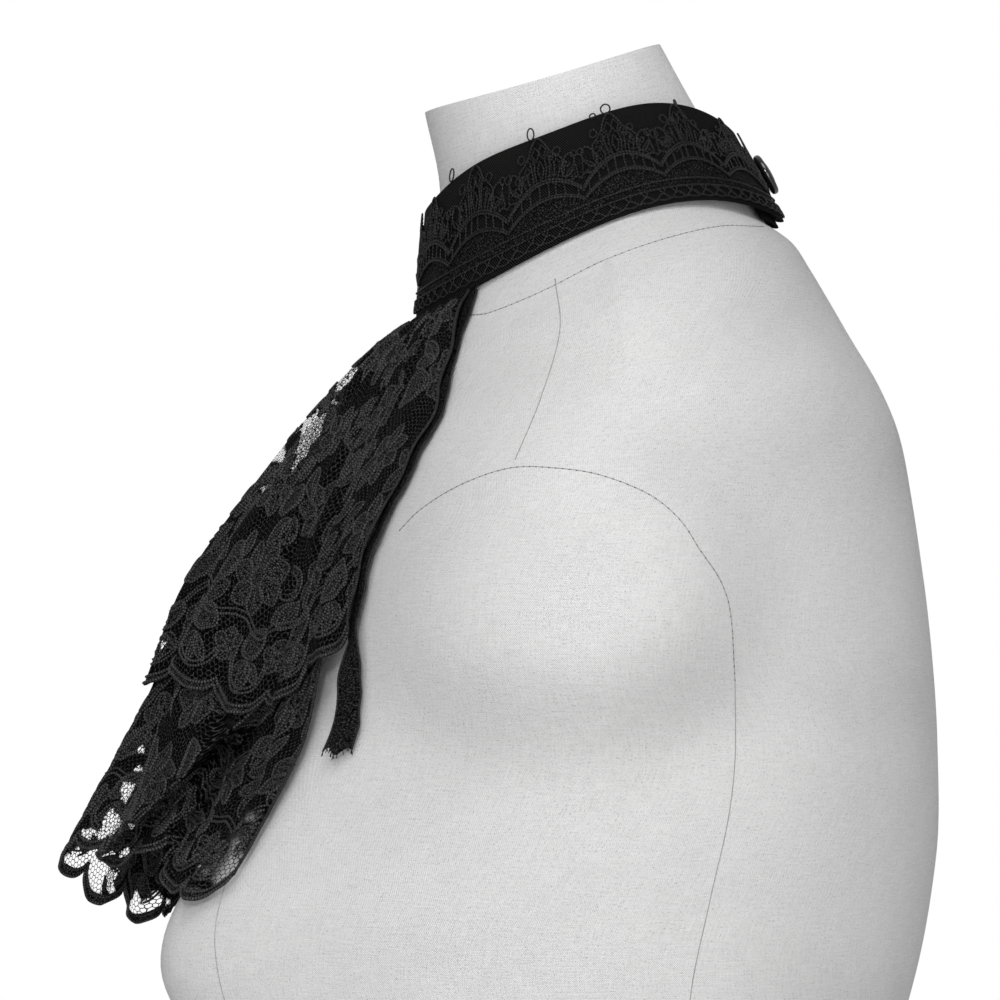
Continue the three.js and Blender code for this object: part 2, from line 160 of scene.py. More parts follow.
# A sheet from a grid of points (columns, rows, 3), with a place on the flat cloth for each
def sheetObject(name, points, flat, material, values=None, joined=False, flipped=False):
    columns, rows = points.shape[:2]
    index = np.arange(columns * rows).reshape(columns, rows)
    last = columns - 1 if joined else columns
    wrapped = index.copy()
    if joined:
        wrapped[-1] = index[0]

    def corners(table):
        order = [table[:-1, :-1], table[1:, :-1], table[1:, 1:], table[:-1, 1:]]
        if flipped:
            order = order[::-1]
        return np.stack(order, -1).reshape(-1, 4)

    faces = corners(wrapped)
    thing = makeObject(name, points.reshape(-1, 3)[: last * rows], faces.tolist(), material)
    addUv(thing, flat.reshape(-1, 2)[corners(index).ravel()])
    for key, table in (values or {}).items():
        addValues(thing, key, table.reshape(-1)[: last * rows])
    return thing


# Cords: each path is (points, normals, radius), swept as a round tube with closed ends
def cordObject(name, paths, material, sides=5):
    points, faces, along = [], [], []
    turn = np.arange(sides) * 2 * math.pi / sides
    base = 0
    for middle, normal, radius in paths:
        count = len(middle)
        direction = unit(np.gradient(middle, axis=0))
        aside = unit(np.cross(direction, normal))
        upright = np.cross(aside, direction)
        ring = (
            middle[:, None]
            + radius * np.cos(turn)[None, :, None] * upright[:, None]
            + radius * np.sin(turn)[None, :, None] * aside[:, None]
        )
        points.append(ring.reshape(-1, 3))
        along.append(np.repeat(runOf(middle), sides))
        i, j = np.meshgrid(np.arange(count - 1), np.arange(sides), indexing="ij")
        a = base + i * sides + j
        b = base + i * sides + (j + 1) % sides
        faces += np.stack([a, a + sides, b + sides, b], -1).reshape(-1, 4).tolist()
        faces.append(list(range(base, base + sides)))
        faces.append(list(range(base + count * sides - 1, base + (count - 1) * sides - 1, -1)))
        base += count * sides
    thing = makeObject(name, np.concatenate(points), faces, material)
    addValues(thing, "along", np.concatenate(along))
    return thing


# Shader maths
class Value:
    def __init__(self, finish, socket):
        self.finish = finish
        self.socket = socket

    def math(self, operation, *others):
        return self.finish.math(operation, self, *others)

    def clamped(self):
        return self.math("MAXIMUM", 0).math("MINIMUM", 1)

    def __add__(self, other):
        return self.math("ADD", other)

    def __sub__(self, other):
        return self.math("SUBTRACT", other)

    def __rsub__(self, other):
        return self.finish.math("SUBTRACT", other, self)

    def __mul__(self, other):
        return self.math("MULTIPLY", other)

    def __truediv__(self, other):
        return self.math("DIVIDE", other)

    def __gt__(self, other):
        return self.math("GREATER_THAN", other)

    def __lt__(self, other):
        return self.math("LESS_THAN", other)

    __radd__ = __add__
    __rmul__ = __mul__


class Finish:
    def __init__(self, name, **plain):
        self.material = bpy.data.materials.new(name)
        self.material.use_nodes = True
        self.tree = self.material.node_tree
        self.surface = self.tree.nodes["Principled BSDF"]
        for socket, value in plain.items():
            self.surface.inputs[socket.replace("_", " ")].default_value = value

    def node(self, kind, settings=None, sockets=None, out=0):
        node = self.tree.nodes.new(kind)
        for key, value in (settings or {}).items():
            setattr(node, key, value)
        for key, value in (sockets or {}).items():
            self.join(node.inputs[key], value)
        return Value(self, node.outputs[out])

    def join(self, socket, value):
        if isinstance(value, Value):
            self.tree.links.new(value.socket, socket)
        else:
            socket.default_value = value

    def math(self, operation, *values):
        return self.node("ShaderNodeMath", {"operation": operation}, dict(enumerate(values)))

    def put(self, **sockets):
        for key, value in sockets.items():
            self.join(self.surface.inputs[key.replace("_", " ")], value)
        return self.material

    def flat(self):
        place = self.node("ShaderNodeUVMap", {"uv_map": "cloth"})
        split = self.node("ShaderNodeSeparateXYZ", None, {0: place})
        return split, Value(self, split.socket.node.outputs[1]), place

    def objectPlace(self):
        return self.node("ShaderNodeTexCoord", None, None, "Object")

    def read(self, name):
        return self.node("ShaderNodeAttribute", {"attribute_name": name}, None, "Fac")

    def noise(self, place, scale, detail=2, rough=0.5):
        values = {"Vector": place, "Scale": scale, "Detail": detail, "Roughness": rough}
        return self.node("ShaderNodeTexNoise", None, values)

    def stretched(self, place, scale):
        return self.node("ShaderNodeMapping", None, {0: place, "Scale": scale})

    def grey(self, factor, dark, light):
        values = {0: factor, 6: (dark, dark, dark, 1), 7: (light, light, light, 1)}
        return self.node("ShaderNodeMix", {"data_type": "RGBA", "clamp_factor": False}, values, 2)

    def bump(self, height, distance):
        values = {"Height": height, "Distance": distance * mm, "Strength": 1.0}
        return self.node("ShaderNodeBump", None, values)


# Linen over the form: a plain weave with slubs and pits. A pair is two threads' width.
linenLook = {
    "pair": 0.72, "weave": 0.3, "slub": 1.6, "slubRun": 0.12, "slubs": 0.9, "cloud": 0.02,
    "pit": 1.5, "pits": 0.4, "dark": 0.5, "light": 0.86, "relief": 0.34,
}


def makeLinen():
    look = linenLook
    f = Finish("linen", Roughness=0.92, Sheen_Weight=0.05, Sheen_Roughness=0.5)
    u, v, place = f.flat()
    across = f.noise(f.stretched(place, (look["slubRun"], look["slub"], 1)), 1.0, 3, 0.6)
    down = f.noise(f.stretched(place, (look["slub"], look["slubRun"], 1)), 1.0, 3, 0.6)
    turn = 2 * math.pi / look["pair"]
    warp = (u * turn).math("SINE")
    weft = (v * turn).math("SINE")
    weave = (warp * weft) * look["weave"] + (across + down) * look["slubs"] - 0.4
    cloud = f.noise(place, look["cloud"], 2, 0.5)
    pits = (f.noise(place, look["pit"], 1) * -1 + 0.43).math("MAXIMUM", 0) * 8
    tone = weave * 0.6 + cloud * 0.3 + 0.08 - pits * look["pits"]
    return f.put(
        Base_Color=f.grey(tone, look["dark"], look["light"]),
        Normal=f.bump(weave, look["relief"]),
    )


# Lace: hexagonal net with threads, closed where the cloth is worked solid
# The light end, worked, contrast and lift set painted highlights in the lace's base colour
laceLook = {
    "cell": 1.9, "thread": 0.36, "sheer": 0.27, "stir": 0.9, "stirScale": 0.35, "pit": 1.05, "edge": 0.1,
    "dark": 0.0006, "light": 0.054, "worked": 2.1, "contrast": 3.4, "lift": 0.38, "relief": 0.6,
}


# Above 0 on a thread of the net and below 0 in a hole
def netThreads(u, v, cell, thread):
    half = math.sqrt(0.75)
    x, y = u / cell, v / cell
    ax, ay = x.math("WRAP", 0.5, -0.5), y.math("WRAP", half, -half)
    bx, by = (x - 0.5).math("WRAP", 0.5, -0.5), (y - half).math("WRAP", half, -half)
    nearer = (ax * ax + ay * ay) < (bx * bx + by * by)
    gx = (bx + (ax - bx) * nearer).math("ABSOLUTE")
    gy = (by + (ay - by) * nearer).math("ABSOLUTE")
    reach = gx.math("MAXIMUM", gx * 0.5 + gy * half)
    return (reach - (0.5 - thread / (2 * cell))) * 5


def makeLace(name, solidFill, bright=1.0):
    look = laceLook
    f = Finish(name, Specular_IOR_Level=0.04, Sheen_Weight=0.0)
    u, v, place = f.flat()
    stir = (f.noise(place, look["stirScale"], 1) - 0.5) * look["stir"]
    thread = f.read("sheer") * (look["sheer"] - look["thread"]) + look["thread"]
    net = netThreads(u + stir + 400, v + stir + 400, look["cell"], thread)
    solid = f.read("solid")
    grain = f.noise(place, 1.5, 2, 0.6)
    pits = f.node("ShaderNodeTexVoronoi", None, {"Vector": place, "Scale": look["pit"]})
    worked = (solid + (grain - 0.5) * 0.5) < look["edge"]
    fill = worked * (((pits * -1 + grain * 0.9) + 0.55) > solidFill)
    woven = fill.math("MAXIMUM", net > 0)
    # Where backed is set, the holes are filled in the near-black base colour: this stands for folds of lace
    # behind and partly for painted shade behind the net
    cover = woven.math("MAXIMUM", f.read("backed"))
    height = worked * (0.35 + (grain - pits) * 0.8) + net.clamped() * 0.5
    # Base colour: noise specks on the worked areas and streaks along the threads are painted glints and
    # highlights on the black threads, mixed with their own random tone
    paintedGlints, threadToneAndSheen = [
        ((f.noise(place, scale, 1) - 0.5) * look["contrast"] + look["lift"]).clamped()
        for scale in (1.9, 1.3)
    ]
    paintedShine = (threadToneAndSheen + (paintedGlints * paintedGlints * look["worked"] - threadToneAndSheen) * worked) * woven
    return f.put(
        Base_Color=f.grey(paintedShine, look["dark"], look["light"] * bright),
        Roughness=0.95 - 0.4 * woven,
        Alpha=cover,
        Normal=f.bump(height, look["relief"]),
    )


def makeThread(name, twist, light, roughness):
    f = Finish(name, Roughness=roughness, Specular_IOR_Level=0.2, Sheen_Weight=0.0)
    along = f.read("along")
    place = f.objectPlace()
    beads = (along * (2 * math.pi / twist)).math("SINE")
    fuzz = f.noise(place, 1400, 2)
    height = beads * 0.22 + fuzz
    # Base colour lighter on each bead's crest and on raised flecks, darker between: painted highlights
    # along the cord
    tone = ((height - 0.36) * 2.1).clamped()
    return f.put(
        Base_Color=f.grey(tone, light * 0.04, light),
        Normal=f.bump(height, 0.3),
    )


# Dark material for the form's seams: painted shade of the seam grooves and stitch holes, mottled by noise
def makeSeamShade(name, dark, light):
    f = Finish(name, Roughness=0.9, Specular_IOR_Level=0.1, Sheen_Weight=0.0)
    place = f.objectPlace()
    mottle = f.noise(place, 210, 3, 0.6)
    return f.put(
        Base_Color=f.grey(mottle, dark, light),
        Normal=f.bump(mottle, 0.12),
    )


twillLook = {"rib": 0.62, "across": 0.8, "up": 0.6, "dark": 0.0003, "light": 0.031, "relief": 0.3}


def makeTwill():
    look = twillLook
    f = Finish("twill", Roughness=0.6, Specular_IOR_Level=0.02, Sheen_Weight=0.0)
    u, v, place = f.flat()
    slant = u * look["across"] + v * look["up"] + f.noise(place, 0.5, 1) * 0.25
    ribs = (slant * (2 * math.pi / look["rib"])).math("SINE")
    raised = ribs * 0.5 + 0.5
    grain = f.noise(place, 2.4, 2)
    # Base colour lighter along the crest of each rib, over a random grain: painted highlights on the ribs
    return f.put(
        Base_Color=f.grey(raised * (grain * 1.6) * raised, look["dark"], look["light"]),
        Normal=f.bump(ribs * 0.5 + grain * 0.5, look["relief"]),
    )


glossLook = {"dark": 0.004, "light": 0.012, "smooth": 0.06, "worn": 0.12, "relief": 0.02}


def makeGloss():
    look = glossLook
    f = Finish("button gloss", Roughness=0.12, Coat_Weight=0.6, Coat_Roughness=0.04)
    place = f.objectPlace()
    mottle = f.noise(place, 220, 3, 0.6)
    return f.put(
        Base_Color=f.grey(mottle, look["dark"], look["light"]),
        Roughness=mottle * look["worn"] + look["smooth"],
        Normal=f.bump(mottle, look["relief"]),
    )


linen = makeLinen()
tierLace = makeLace("tier lace", solidFill=0.34)
denseLace = makeLace("collar lace ground", solidFill=0.42, bright=0.42)
facingNet = makeLace("facing net", solidFill=0.28, bright=0.45)
cordThread = makeThread("cord thread", twist=1.1, light=0.085, roughness=0.38)
collarThread = makeThread("collar thread", twist=1.1, light=0.036, roughness=0.36)
fineThread = makeThread("fine thread", twist=0.8, light=0.04, roughness=0.5)
# Painted shade: dark beads for the stitch holes and thin lines for the seam grooves
stitchPitShade = makeSeamShade("stitch pit shade", dark=0.02, light=0.12)
creaseShade = makeSeamShade("seam crease shade", dark=0.2, light=0.46)
twill = makeTwill()
gloss = makeGloss()
print("finishes made")

# Rings of the form, from the neck top down
ringKeys = ("frontZ", "sideZ", "backZ", "frontY", "backY", "half", "lift", "point")
formRings = np.array([
    (616.2, 625.6, 639.7, -46.6, 34.5, 40.0, 0, 1),
    (589.7, 606.4, 619.0, -41.4, 45.9, 44.0, 0, 1),
    (566.0, 592.0, 597.0, -44.0, 59.0, 49.5, 1.5, 1),
    (544.3, 574.2, 577.3, -47.4, 71.2, 55.3, 2.2, 1),
    (538.0, 566.0, 571.0, -50.5, 80.0, 76.0, 1.5, 1.2),
    (531.0, 557.0, 562.0, -53.5, 86.0, 94.0, 1, 1.3),
    (523.0, 547.0, 551.0, -57.5, 92.5, 110.0, 0, 1.4),
    (514.0, 535.0, 538.0, -61.5, 100.0, 123.0, 0, 1.45),
    (503.0, 520.0, 522.0, -66.5, 109.5, 131.5, 0, 1.25),
    (491.0, 503.0, 505.0, -71.5, 116.5, 137.0, 0, 1.06),
    (476.0, 480.0, 482.0, -77.5, 121.0, 141.0, 0, 1),
    (455.0, 455.0, 455.0, -85.0, 125.0, 143.0, 0, 0.98),
    (443.0, 443.0, 443.0, -89.0, 126.5, 143.7, 0, 1),
    (430.0, 430.0, 430.0, -93.5, 127.8, 144.5, 0, 1),
    (415.0, 415.0, 415.0, -98.5, 129.0, 145.5, 0, 1.04),
    (400.0, 400.0, 400.0, -104.0, 129.7, 146.5, 0, 1.08),
    (370.0, 370.0, 370.0, -114.0, 130.0, 148.0, 0, 1.05),
    (348.0, 348.0, 348.0, -120.0, 127.6, 148.5, 0, 1),
    (327.0, 327.0, 327.0, -122.5, 123.8, 147.0, 0, 1),
    (305.0, 305.0, 305.0, -120.0, 118.0, 144.0, 0, 1),
    (280.0, 280.0, 280.0, -111.0, 110.0, 138.5, 0, 1),
    (250.0, 250.0, 250.0, -98.0, 99.5, 132.0, 0, 1),
    (200.0, 200.0, 200.0, -83.0, 86.5, 125.0, 0, 1),
    (150.0, 150.0, 150.0, -78.0, 82.5, 122.5, 0, 1),
    (100.0, 100.0, 100.0, -86.0, 94.0, 135.5, 0, 1),
    (50.0, 50.0, 50.0, -99.0, 107.5, 153.5, 0, 1),
    (0.0, 0.0, 0.0, -108.0, 108.0, 163.0, 0, 1),
]).T
formLook = {
    "sides": 200, "steps": 6, "neckRings": 4,
    "bustAside": 78, "bustHeight": 329, "bustDepth": 28,
    "bustSpread": 34, "bustRise": 52, "bustFall": 40,
    "stubReach": 29, "stubHeight": 455, "stubHalfHeight": 46,
    "stubAt": 2, "stubBack": 57, "stubFront": 69, "stubFrom": 60,
}
# A ring with a swell rises most at this angle from the front, on both sides
swellAt = math.radians(48)
swellSpread = math.radians(31)


def ringPoints(ring, angle, out):
    ends = (ring["frontZ"] + ring["backZ"]) / 2
    mean = (ends + ring["sideZ"]) / 2
    tilt = (ring["frontZ"] - ring["backZ"]) / 2 - ring["lift"]
    arch = (ends - ring["sideZ"]) / 2
    off = (np.arccos(np.cos(angle)) - swellAt) / swellSpread
    z = mean + tilt * np.cos(angle) + arch * np.cos(2 * angle)
    z = z + ring["lift"] * np.cos(3 * angle) + ring.get("swell", 0) * np.exp(-(off**2))
    depth = (ring["backY"] - ring["frontY"]) / 2 + out
    y = (ring["frontY"] + ring["backY"]) / 2 - depth * np.cos(angle)
    x = (ring["half"] + out) * np.sin(angle)
    return np.stack(np.broadcast_arrays(x, y, z), -1)


def formSurface():
    look = formLook
    height = -(formRings[0] + 2 * formRings[1] + formRings[2]) / 4
    runs = []
    for first, last in ((0, look["neckRings"]), (look["neckRings"] - 1, formRings.shape[1])):
        stops = height[first:last]
        places = np.linspace(0, len(stops) - 1, (len(stops) - 1) * look["steps"] + 1)
        at = np.interp(places, np.arange(len(stops)), stops)
        runs.append(through(stops, formRings[:, first:last], at))
    rings = np.concatenate([runs[0], runs[1][:, 1:]], 1)
    ring = dict(zip(ringKeys, rings[:, None, :]))
    angle = np.linspace(-math.pi, math.pi, look["sides"] + 1)[:, None]
    p = ringPoints(ring, angle, 0)
    front = np.maximum(np.cos(angle), 0)
    x, y, z = p[..., 0], p[..., 1], p[..., 2]
    y += (ring["backY"] - ring["frontY"]) / 2 * (front - front ** ring["point"])
    rise = z - look["bustHeight"]
    rise = rise / np.where(rise > 0, look["bustRise"], look["bustFall"])
    aside = (np.abs(x) - look["bustAside"]) / look["bustSpread"]
    y -= look["bustDepth"] * np.exp(-(rise**2) - aside**2) * np.minimum(1, 2 * front)
    reach = np.where(y > look["stubAt"], look["stubBack"], look["stubFront"])
    across = np.hypot((y - look["stubAt"]) / reach, (z - look["stubHeight"]) / look["stubHalfHeight"])
    stub = look["stubReach"] * np.exp(-(across**4.2))
    x += np.sign(x) * stub * np.minimum(1, np.abs(x) / look["stubFrom"]) ** 4
    return p


def makeForm():
    p = formSurface()
    columns, rows = p.shape[:2]
    around = runOf(p)
    around = around - around[columns // 2]
    flat = np.stack(np.broadcast_arrays(around, runOf(p[0])), -1)
    form = sheetObject("linenForm", p, flat, linen, joined=True)
    # The neck top and the foot are closed with a ring of faces round a middle point
    points = [list(c) for c in p[:-1, 0]] + [list(c) for c in p[:-1, -1]]
    points += [list(p[:-1, 0].mean(0)), list(p[:-1, -1].mean(0))]
    n = columns - 1
    faces = [[i, 2 * n, (i + 1) % n] for i in range(n)]
    faces += [[n + i, n + (i + 1) % n, 2 * n + 1] for i in range(n)]
    ends = makeObject("caps", points, faces, linen, smooth=False)
    addUv(ends, [(points[i][0], points[i][1]) for face in faces for i in face])
    with bpy.context.temp_override(active_object=form, selected_editable_objects=[form, ends]):
        bpy.ops.object.join()
    tree = BVHTree.FromPolygons([tuple(c) for c in p.reshape(-1, 3)], [
        (a, a + rows, a + rows + 1, a + 1)
        for i in range(n) for a in range(i * rows, i * rows + rows - 1)
    ])
    return form, tree, p[0]


form, formTree, backLine = makeForm()
chestLook = {"step": 2.0, "aside": 128, "low": 318, "high": 562, "farY": -400}
chestX = np.arange(-chestLook["aside"], chestLook["aside"] + 1, chestLook["step"])
chestZ = np.arange(chestLook["low"], chestLook["high"], chestLook["step"])


def frontAt(x, z):
    hit = formTree.ray_cast((x, chestLook["farY"], z), (0, 1, 0))[0]
    return hit[1] if hit else 0


chestMap = np.array([[frontAt(x, z) for z in chestZ] for x in chestX])


# Where the form's front lies, at a place across and a height
def chestY(x, z):
    return between(chestMap, (x - chestX[0]) / chestLook["step"], (z - chestZ[0]) / chestLook["step"])


print("form made")

# The collar, whose inner end is tucked in under the outer one at the back
bandLook = {
    "height": 36, "wall": 1.6, "over": 1.0, "gap": 0.3, "overlap": 40, "end": 194,
    "tuckFrom": 134, "tuckRun": 28, "underFrom": 150, "underTo": 176, "underDrop": 2.2, "underFlare": 1.4,
    "columns": 420, "rows": 13, "cornerUp": 0.12, "cornerIn": 0.14,
}
bandDepth = bandLook["wall"] + bandLook["over"] + 2 * bandLook["gap"]
bandKeys = ringKeys[:7] + ("swell",)
bandLow = dict(zip(bandKeys, (545.5, 575.5, 578.6, -48.1, 75.7, 56.0, 2.2, 0)))
bandHigh = dict(zip(bandKeys, (581.5, 609.5, 609.0, -45.0, 58.5, 50.0, 2.8, 7)))


def bandPoints(degrees, height, out):
    degrees, height, out = np.broadcast_arrays(np.asarray(degrees, float), height, out)
    share = height / bandLook["height"]
    ring = {key: bandLow[key] * (1 - share) + bandHigh[key] * share for key in bandKeys}
    tuck = -bandDepth * ease(-degrees, bandLook["tuckFrom"], bandLook["tuckFrom"] + bandLook["tuckRun"])
    return ringPoints(ring, np.radians(degrees), out + tuck)


def bandNormals(degrees, height):
    around = bandPoints(degrees + 0.2, height, 2) - bandPoints(degrees - 0.2, height, 2)
    up = bandPoints(degrees, height + 0.2, 2) - bandPoints(degrees, height - 0.2, 2)
    return unit(np.cross(around, up))


def makeBand():
    look = bandLook
    wall, tall = look["wall"], look["height"]
    up, low, high = look["cornerUp"], look["cornerIn"], wall - look["cornerIn"]
    outer = [(h, wall) for h in np.linspace(0.5, tall - 0.5, look["rows"])]
    inner = [(h, 0) for h in np.linspace(tall - 0.5, 0.5, look["rows"])]
    section = [(up, high)] + outer + [(tall - up, high), (tall, wall / 2), (tall - up, low)]
    section += inner + [(up, low), (0, wall / 2)]
    heights = np.array([h for h, _ in section])
    outs = np.array([o for _, o in section])
    degrees = np.linspace(look["end"] - 360 - look["overlap"], look["end"], look["columns"])
    p = bandPoints(degrees[:, None], heights, outs)
    under = ease(-degrees, look["underFrom"], look["underTo"])[:, None] * (1 - heights / tall)
    p[..., 1] += look["underFlare"] * under
    p[..., 2] -= look["underDrop"] * under
    count, sides = p.shape[:2]
    run = runOf(p[:, 8])
    girth = np.concatenate([[0], np.cumsum(np.hypot(np.diff(heights), np.diff(outs)))])
    faces, uvs = [], []
    for i in range(count - 1):
        for j in range(sides):
            k = (j + 1) % sides
            faces.append((i * sides + j, (i + 1) * sides + j, (i + 1) * sides + k, i * sides + k))
            far = girth[k] if k else girth[-1] + 0.8
            uvs += [(run[i], girth[j]), (run[i + 1], girth[j]), (run[i + 1], far), (run[i], far)]
    faces.append(tuple(range(sides)))
    uvs += [(outs[j] * 3, heights[j]) for j in range(sides)]
    faces.append(tuple(range(count * sides - 1, (count - 1) * sides - 1, -1)))
    uvs += [(outs[j] * 3, heights[j]) for j in range(sides - 1, -1, -1)]
    band = makeObject("collarBand", p.reshape(-1, 3), faces, twill)
    addUv(band, uvs)
    return band


band = makeBand()


# How far each place is from a closed shape, negative inside it
def distanceTo(points, loop):
    a = loop
    b = np.roll(loop, -1, axis=0)
    best = np.full(len(points), 1e9)
    inside = np.zeros(len(points), bool)
    for (ax, ay), (bx, by) in zip(a, b):
        px, py = points[:, 0] - ax, points[:, 1] - ay
        dx, dy = bx - ax, by - ay
        t = np.clip((px * dx + py * dy) / max(dx * dx + dy * dy, 1e-9), 0, 1)
        best = np.minimum(best, (px - dx * t) ** 2 + (py - dy * t) ** 2)
        crosses = ((ay > points[:, 1]) != (by > points[:, 1])) & (
            points[:, 0] < (bx - ax) * (points[:, 1] - ay) / (by - ay + 1e-12) + ax
        )
        inside ^= crosses
    return np.sqrt(best) * np.where(inside, -1, 1)


def solidField(flat, solids):
    field = np.full(flat.shape[:2], 6.0)
    for loop in solids:
        low, high = loop.min(0) - 3, loop.max(0) + 3
        near = ((flat > low) & (flat < high)).all(-1)
        if near.any():
            field[near] = np.minimum(field[near], distanceTo(flat[near], loop))
    return field


# Guipure lace sewn over the collar, one repeat wide and laid end to end
guipure = {
    "repeats": 14, "shift": -0.2, "width": 27.4, "margin": 1.7, "rail": 5.6, "strip": 8.2,
    "archLow": 9.8, "archRise": 5.1, "ladder": 3.2, "ladderRise": 2.2, "fanLow": 23.5, "fanRise": 11.5,
    "cord": 0.42, "fine": 0.27, "groundSteps": 40, "groundLift": 0.4, "cordLift": 0.5, "railLift": 0.55,
    "seed": 11,
}


def archAt(f):
    return np.abs(np.sin(np.pi * f)) ** 0.8


def lowArch(f):
    return guipure["archLow"] + guipure["archRise"] * archAt(f)


def highArch(f):
    return lowArch(f) + guipure["ladder"] + guipure["ladderRise"] * archAt(f)


def fanTop(f):
    return guipure["fanLow"] + guipure["fanRise"] * np.exp(-(((f % 1 - 0.5) / 0.2) ** 2))


# Wedges worked solid beside each crest, as corners (place, height)
guipureWedges = [
    [
        (0.28, 17.6), (0.36, 19.6), (0.44, 20.8), (0.42, 25), (0.43, 28),
        (0.36, 30.6), (0.29, 28.2), (0.21, 26.6), (0.19, 22),
    ],
    [
        (0.72, 17.6), (0.64, 19.6), (0.55, 20.8), (0.58, 25), (0.57, 28),
        (0.64, 30.2), (0.71, 28.6), (0.79, 26.2), (0.81, 22),
    ],
    [(0.03, 18.8), (0.1, 18.2), (0.19, 18), (0.17, 20.6), (0.05, 23.4)],
    [(0.81, 18), (0.9, 18.2), (0.97, 18.8), (0.95, 23.4), (0.83, 20.6)],
]


# Loops that stand over the collar's edge: degrees, half width, half height
guipureLoops = [
    (35.3, 1.2, 1.9), (71.6, 1.1, 1.9), (93.9, 0.9, 0.7), (98.8, 1.5, 1.6), (126.3, 0.4, 0.9),
    (-41, 1.2, 1.7), (-77, 1.1, 1.9), (-108, 1.5, 1.5),
]

# The crest's leaf and two diamonds: place, height, half width, half height
guipureCrest = [(0.5, 24.6, 0.045, 3.4), (0.455, 30.2, 0.055, 2.3), (0.548, 30.6, 0.055, 2.3)]


def ovalAt(place, height, wide, tall, lean=0.0, count=15):
    turn = np.linspace(0, 2 * np.pi, count)
    across = wide * np.cos(turn) + lean * tall * np.sin(turn)
    return place + across / guipure["width"], height + tall * np.sin(turn)


# One repeat's cords as (places across in repeats, heights, radius)
def guipureRepeat(dice):
    g = guipure
    cord, fine = g["cord"], g["fine"]
    cords = []
    f = np.linspace(0, 1, 33)
    cords += [(f, lowArch(f), cord), (f, lowArch(f) + 0.75, fine)]
    cords += [(f, highArch(f), cord), (f, highArch(f) + 0.85, cord * 0.85)]
    for k in range(8):
        at = 0.08 + 0.12 * k + dice.uniform(-0.02, 0.02)
        lean = dice.uniform(-0.012, 0.012)
        cords.append((np.array([at, at + lean]), np.array([lowArch(at), highArch(at)]), fine * 1.1))
    # A chain of rounded cells along the border, with posts up to the rail
    f = np.linspace(0, 1, 73)
    chain = 0.5 - 0.5 * np.cos(2 * np.pi * 5 * f)
    cords.append((f, g["margin"] + 2.0 * chain**0.7, fine * 1.15))
    cords.append((f, g["margin"] + 0.25 * np.sin(2 * np.pi * 5 * f + 1), fine))
    for k in range(5):
        at = (k + 0.5) / 5 + dice.uniform(-0.02, 0.02)
        for lean in (-0.06, 0.03):
            cords.append((np.array([at, at + lean]), np.array([g["margin"] + 1.9, g["rail"]]), fine))
    # A lens over each dip
    f = np.linspace(-0.13, 0.13, 15)
    cords.append((f, highArch(f) + 0.9 + 3.2 * (1 - (f / 0.13) ** 2), fine * 1.2))
    # Tall loops at both sides of the dip, and small rings
    for place, lean in ((0.14, -0.25), (0.86, 0.25)):
        cords.append((*ovalAt(place, 23.2, 2.3, 3.6, lean, 21), fine * 1.25))
    for place, height in ((0.25, 29.6), (0.74, 29.0), (0.04, 25.6), (0.95, 26.2)):
        r = dice.uniform(1.0, 1.5)
        cords.append((*ovalAt(place, height + dice.uniform(-0.8, 0.8), r, r), fine))
    # The wedges' outlines, and rays over them
    for loop in guipureWedges:
        place, height = np.array(loop + loop[:1]).T
        cords.append((place, height, fine * 1.1))
    for k in (-4, -3, -2, 2, 3, 4):
        foot = 0.5 + 0.052 * k
        tip = 0.5 + 0.066 * k + dice.uniform(-0.012, 0.012)
        t = np.linspace(0, 1, 7)
        begin = highArch(foot) + 1
        rise = begin + (fanTop(tip) - dice.uniform(1.2, 2.6) - begin) * t
        sway = dice.uniform(-0.015, 0.015) * np.sin(np.pi * t)
        cords.append((foot + (tip - foot) * t**1.3 + sway, rise, fine))
    # The crest, with a pointed arch over it
    for place, height, wide, tall in guipureCrest:
        sideways = np.array([0, 1, 0, -1, 0]) * wide + dice.uniform(-0.006, 0.006)
        cords.append((place + sideways, height + np.array([-1, 0.1, 1, 0.1, -1]) * tall, fine * 1.2))
    t = np.linspace(-1, 1, 17)
    cords.append((0.5 + 0.16 * t, 35.2 - 6.2 * np.abs(t) ** 1.8, fine * 1.3))
    # Picots scattered along the upper edge
    for _ in range(9):
        at = dice.choice((dice.uniform(0.08, 0.36), dice.uniform(0.64, 0.92)))
        height = fanTop(at) - dice.uniform(0.2, 3.0)
        t = np.linspace(0, np.pi * dice.uniform(1.1, 1.9), 9)
        r = dice.uniform(0.7, 1.3)
        t = t + dice.uniform(0, 6.3)
        cords.append((at + r / g["width"] * np.cos(t), height + r * np.sin(t), fine * 0.9))
    return cords


def guipureDegrees(place):
    start = bandLook["end"] - 360 + 4
    return start + (bandLook["end"] - 1 - start) * place / guipure["repeats"]


# Cords that pass an end of the lace are cut there
def clipped(place, height):
    keep = (place >= 0) & (place <= guipure["repeats"])
    return place[keep], height[keep]


def layOnBand(place, height, lift):
    degrees = guipureDegrees(place)
    normal = bandNormals(degrees, height)
    return bandPoints(degrees, height, bandLook["wall"]) + normal * lift, normal


